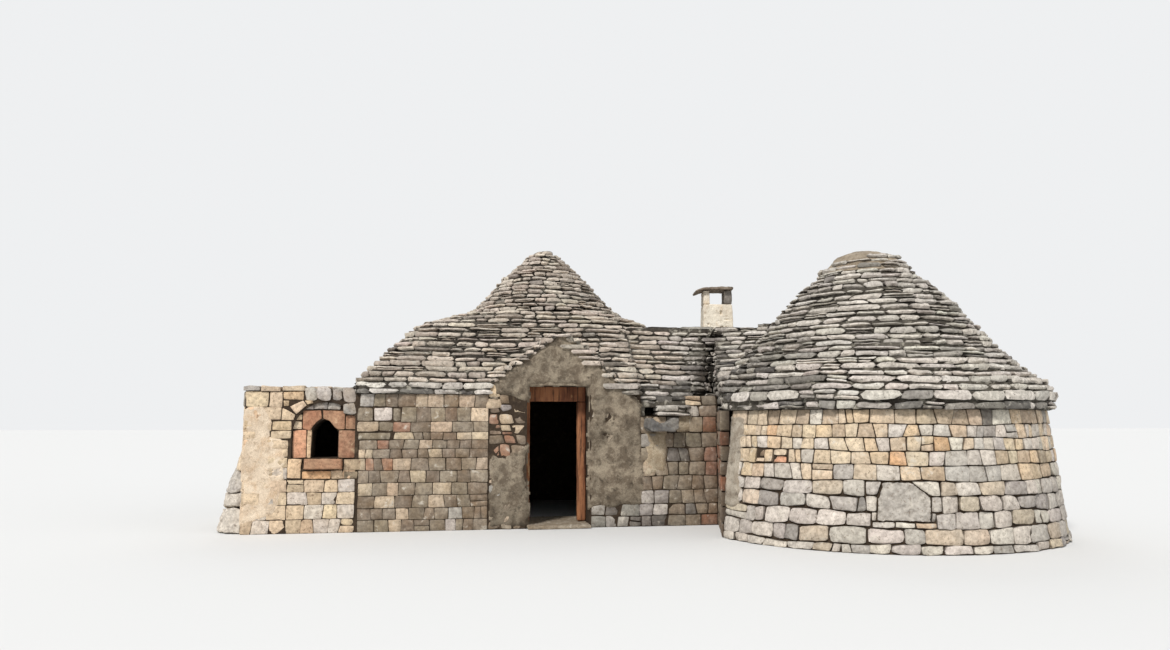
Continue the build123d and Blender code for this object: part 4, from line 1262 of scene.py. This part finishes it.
# the two lintel stones that are cut to the pointed mouth
LEFT = [(-3.745, 1.755), (-3.745, 1.49), (-3.635, 1.455), (-3.60, 1.53), (-3.53, 1.60),
        (-3.475, 1.635), (-3.485, 1.76)]
RIGHT = [(-3.47, 1.76), (-3.46, 1.635), (-3.37, 1.60), (-3.285, 1.50), (-3.235, 1.475),
         (-3.15, 1.48), (-3.145, 1.70), (-3.17, 1.745)]
worn("oven_lintel_stones", [prism(LEFT, 0.03, 0.3), prism(RIGHT, 0.03, 0.3)], OVEN_STONE,
     "oven_stone", voxel=0.01, wear=0.005, tints=[SIENNA, CLAY])
worn_nodes("oven_sill_stone", ["oven_sill"], OVEN_STONE, "wall_stone", voxel=0.011, wear=0.01,
           tints=[CLAY])
coat("oven_pier_coat", facade, (-4.56, -3.9, 0.1, 2.02),
     [[(-4.545, 0.12), (-4.10, 0.25), (-3.98, 0.7), (-3.96, 1.1), (-4.02, 1.33), (-4.2, 1.36),
       (-4.22, 1.7), (-4.30, 1.79), (-4.545, 1.79)]],
     PIER_PLASTER, step=0.02, thick=0.018, relief=0.005, ragged=0.06, holes=0.75, seed=8.0)

# slabs over the oven wing, the front row as wide as they show
restart(16)
pile = Pile(BLOCK)
cells = courses([-0.04, 0.36, 0.78, 1.2, 1.62, 2.06, 2.64], -4.58, -3.0, (0.24, 0.5), wave=0.015,
                lean=0.02, split=0)
cells = cells[cells.mean(1)[:, 1] > 0.36]
FRONT_ROW = [(-4.58, -4.335), (-4.33, -4.055), (-4.05, -3.705), (-3.70, -3.36), (-3.355, -3.0)]
cells = np.concatenate([cells, [block(a, b, -0.04 if b < -3.6 else 0.16, 0.36, 0.004)
                                for a, b in FRONT_ROW]])
lay_wall(pile, cells, plane((0, 0, 2.12), (1, 0), (0, 1, 0)),
         mixed(CREAM, ASH, PALE, TAN, shares=(2, 3, 2, 1)), proud=-0.014, depth=0.082, gap=0.012,
         rough=0.008, lift=0.012, shade=0.2)
pile.build("oven_cap_stones", WALL_STONE, "roof_slabs", ["oven_cap_slabs"])

# the buttress is a heap of rocks
def split_form(form, *cuts):
    """The part of a closed form behind every (place, direction) plane, closed again."""
    points, faces = form
    body = bmesh.new()
    corners = [body.verts.new(p) for p in points]
    for face in faces:
        body.faces.new([corners[i] for i in face])
    for place, direction in cuts:
        bmesh.ops.bisect_plane(body, geom=[*body.verts, *body.edges, *body.faces],
                               plane_co=place, plane_no=direction, clear_outer=True)
        bmesh.ops.holes_fill(body, edges=[e for e in body.edges if e.is_boundary])
    body.verts.index_update()
    made = ([tuple(v.co) for v in body.verts], [[v.index for v in f.verts] for f in body.faces])
    body.free()
    return made


# the beds between the rocks, as (place, upward direction), and the joints across them
BEDS = [((-4.7, 0.4, 0.0), (0, 0, 1)), ((-4.7, 0.4, 0.33), (0.15, 0.2, 1)),
        ((-4.65, 0.4, 0.62), (-0.25, -0.15, 1)), ((-4.6, 0.4, 0.93), (0.2, -0.2, 1)),
        ((-4.6, 0.4, 1.3), (0, 0, 1))]
ACROSS = [((-4.7, 0.62, 0.2), (0.2, 1, 0.2)), ((-4.7, 0.46, 0.5), (-0.3, 1, -0.2)),
          ((-4.7, 0.66, 0.8), (0.1, 1, 0.3)), None]
rocks = []
for lower, upper, joint in zip(BEDS, BEDS[1:], ACROSS):
    sides = [[joint], [(joint[0], np.negative(joint[1]))]] if joint else [[]]
    rocks += [split_form(form_of("oven_buttress"), (lower[0], np.negative(lower[1])), upper,
                         *side) for side in sides]
worn("rock_buttress", rocks, WALL_STONE, "wall_stone", voxel=0.018, wear=0.028, scale=3.6,
     rounds=10, replaced=["oven_buttress"], tints=[PALE, ASH, PALE, SAND, ASH, PALE, CREAM])

# single worn stones, the chimney and the timber of the door
worn_nodes("worn_gutter", ["gutter_stone"], WALL_STONE, "wall_stone", voxel=0.011, wear=0.012,
           tints=[(112, 110, 108)])
worn_nodes("worn_threshold", ["door_threshold"], WALL_STONE, "wall_stone", voxel=0.018,
           wear=0.008, tints=[TAUPE])
points, faces = form_of("annex_cap")
points[:, :2] -= 0.03 * (points[:, :2] - CENTRE) / 0.72
worn("worn_cap", [(points, faces)], CAP_MORTAR, "roof_slabs", voxel=0.024, wear=0.012,
     scale=3.0, replaced=["annex_cap"])
STACK = np.array((3.105, 1.7, 0))  # the middle of the chimney, and its turn
turn = math.radians(-11.5)
ALONG = np.array((math.cos(turn), math.sin(turn), 0))
BACK = np.array((-math.sin(turn), math.cos(turn), 0))


def on_stack(along, z):
    """A spot on the front of the chimney stack."""
    half = 0.26 - 0.035 * (z - 2.6) / 1.06
    return STACK + (0, 0, z) + ALONG * along - BACK * half


def pier(right):
    """The chimney pier that stands at the right, or at the left."""
    points, faces = form_of("chimney_piers")
    along = (points - STACK) @ ALONG
    return points, faces[(along[faces].mean(1) > 0) == right]


# painted shade: the right pier gets dark grey stone, the left one the chimney's pale plaster
worn("worn_right_pier", [pier(True)], WALL_STONE, "plastered_stone", voxel=0.013, wear=0.008,
     scale=6.0, tints=[(128, 122, 116)])
worn("worn_chimney", [form_of("chimney_stack"), pier(False)], CHIMNEY_PLASTER,
     "plastered_stone", voxel=0.013, wear=0.007, scale=4.0,
     replaced=["chimney_stack", "chimney_piers"],
     hollows=[(on_stack(0.055, 3.50), (0.02, 0.06, 0.04), 0.05),
              (on_stack(0.065, 3.23), (0.03, 0.06, 0.03), 0.05),
              (on_stack(0.15, 3.38), (0.05, 0.06, 0.012), 0.02),
              (on_stack(-0.17, 3.30), (0.022, 0.06, 0.02), 0.03)])
worn_nodes("worn_cover", ["chimney_cover"], WALL_STONE, "roof_slabs", voxel=0.011, wear=0.007,
           tints=[(140, 126, 112)])
worn_nodes("worn_posts", ["door_posts", "door_header"], DOOR_TIMBER, "timber", voxel=0.012,
           wear=0.005, scale=6.0)


# ----- the CAD's own nodes --------------------------------------------------------------

OWN = {"annex_cap": CAP_MORTAR, "door_posts": DOOR_TIMBER, "door_header": DOOR_TIMBER,
       "chimney_stack": CHIMNEY_PLASTER, "chimney_piers": CHIMNEY_PLASTER,
       "chimney_cover": ROOF_CORE, "gable_wall": FRONT_PLASTER_SHADED}
for name, node in nodes.items():
    node.data.materials.clear()
    node.data.materials.append(OWN.get(name, ROOF_CORE if is_roof(name) else WALL_CORE))


# ----- studio ---------------------------------------------------------------------------

FLOOR = 160  # half its width
floor_mesh = bpy.data.meshes.new("floor")
corners = [(x * FLOOR, y * FLOOR, 0) for x, y in ((-1, -1), (1, -1), (1, 1), (-1, 1))]
floor_mesh.from_pydata(corners, [], [(0, 1, 2, 3)])
pale = Shader("pale_floor")
pale.put(pale.surface, {"Base Color": (0.72, 0.72, 0.71, 1), "Roughness": 0.95})
floor_mesh.materials.append(pale.material)
placed("floor", floor_mesh)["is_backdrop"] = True

# a soft bluish sky lights the house, and the camera sees a plain grey one
world = bpy.data.worlds.new("studio")
bpy.context.scene.world = world
world.use_nodes = True
sky = world.node_tree
soft, back = sky.nodes["Background"], sky.nodes.new("ShaderNodeBackground")
rays, choose = (sky.nodes.new("ShaderNode" + kind) for kind in ("LightPath", "MixShader"))
soft.inputs["Color"].default_value = (0.93, 0.96, 1.0, 1)
soft.inputs["Strength"].default_value = 0.56
back.inputs["Color"].default_value = (0.86, 0.87, 0.88, 1)
for source, target in ((rays.outputs["Is Camera Ray"], choose.inputs[0]),
                       (soft.outputs[0], choose.inputs[1]), (back.outputs[0], choose.inputs[2]),
                       (choose.outputs[0], sky.nodes["World Output"].inputs["Surface"])):
    sky.links.new(source, target)


def sun(name, turn, height, strength, angle, colour=(1, 1, 1)):
    """A wide soft light from a compass turn (0 from the front, 90 from the right)."""
    data = bpy.data.lights.new(name, "SUN")
    data.energy, data.angle, data.color = strength, math.radians(angle), colour
    placed(name, data).rotation_euler = math.radians(90 - height), 0, math.radians(turn)


sun("key", -38, 44, 2.75, 9, (1.0, 0.98, 0.955))
sun("fill", 60, 25, 0.35, 40)
sun("rear", 170, 35, 0.5, 40)

# the photograph's camera, at eye height; its focal length and width in pixels, from the photo
FOCAL, WIDTH = 884, 1170
camera = placed("camera", bpy.data.cameras.new("camera"))
camera.location = (-1.95, -13.39, 1.6)
camera.rotation_euler = (math.radians(96.2), 0, math.radians(-10))
camera.data.sensor_width = 36
camera.data.lens = camera.data.sensor_width * FOCAL / WIDTH
camera.data.clip_end = 500
bpy.context.scene.camera = camera
bpy.context.scene.view_settings.view_transform = "Standard"

low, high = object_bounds()
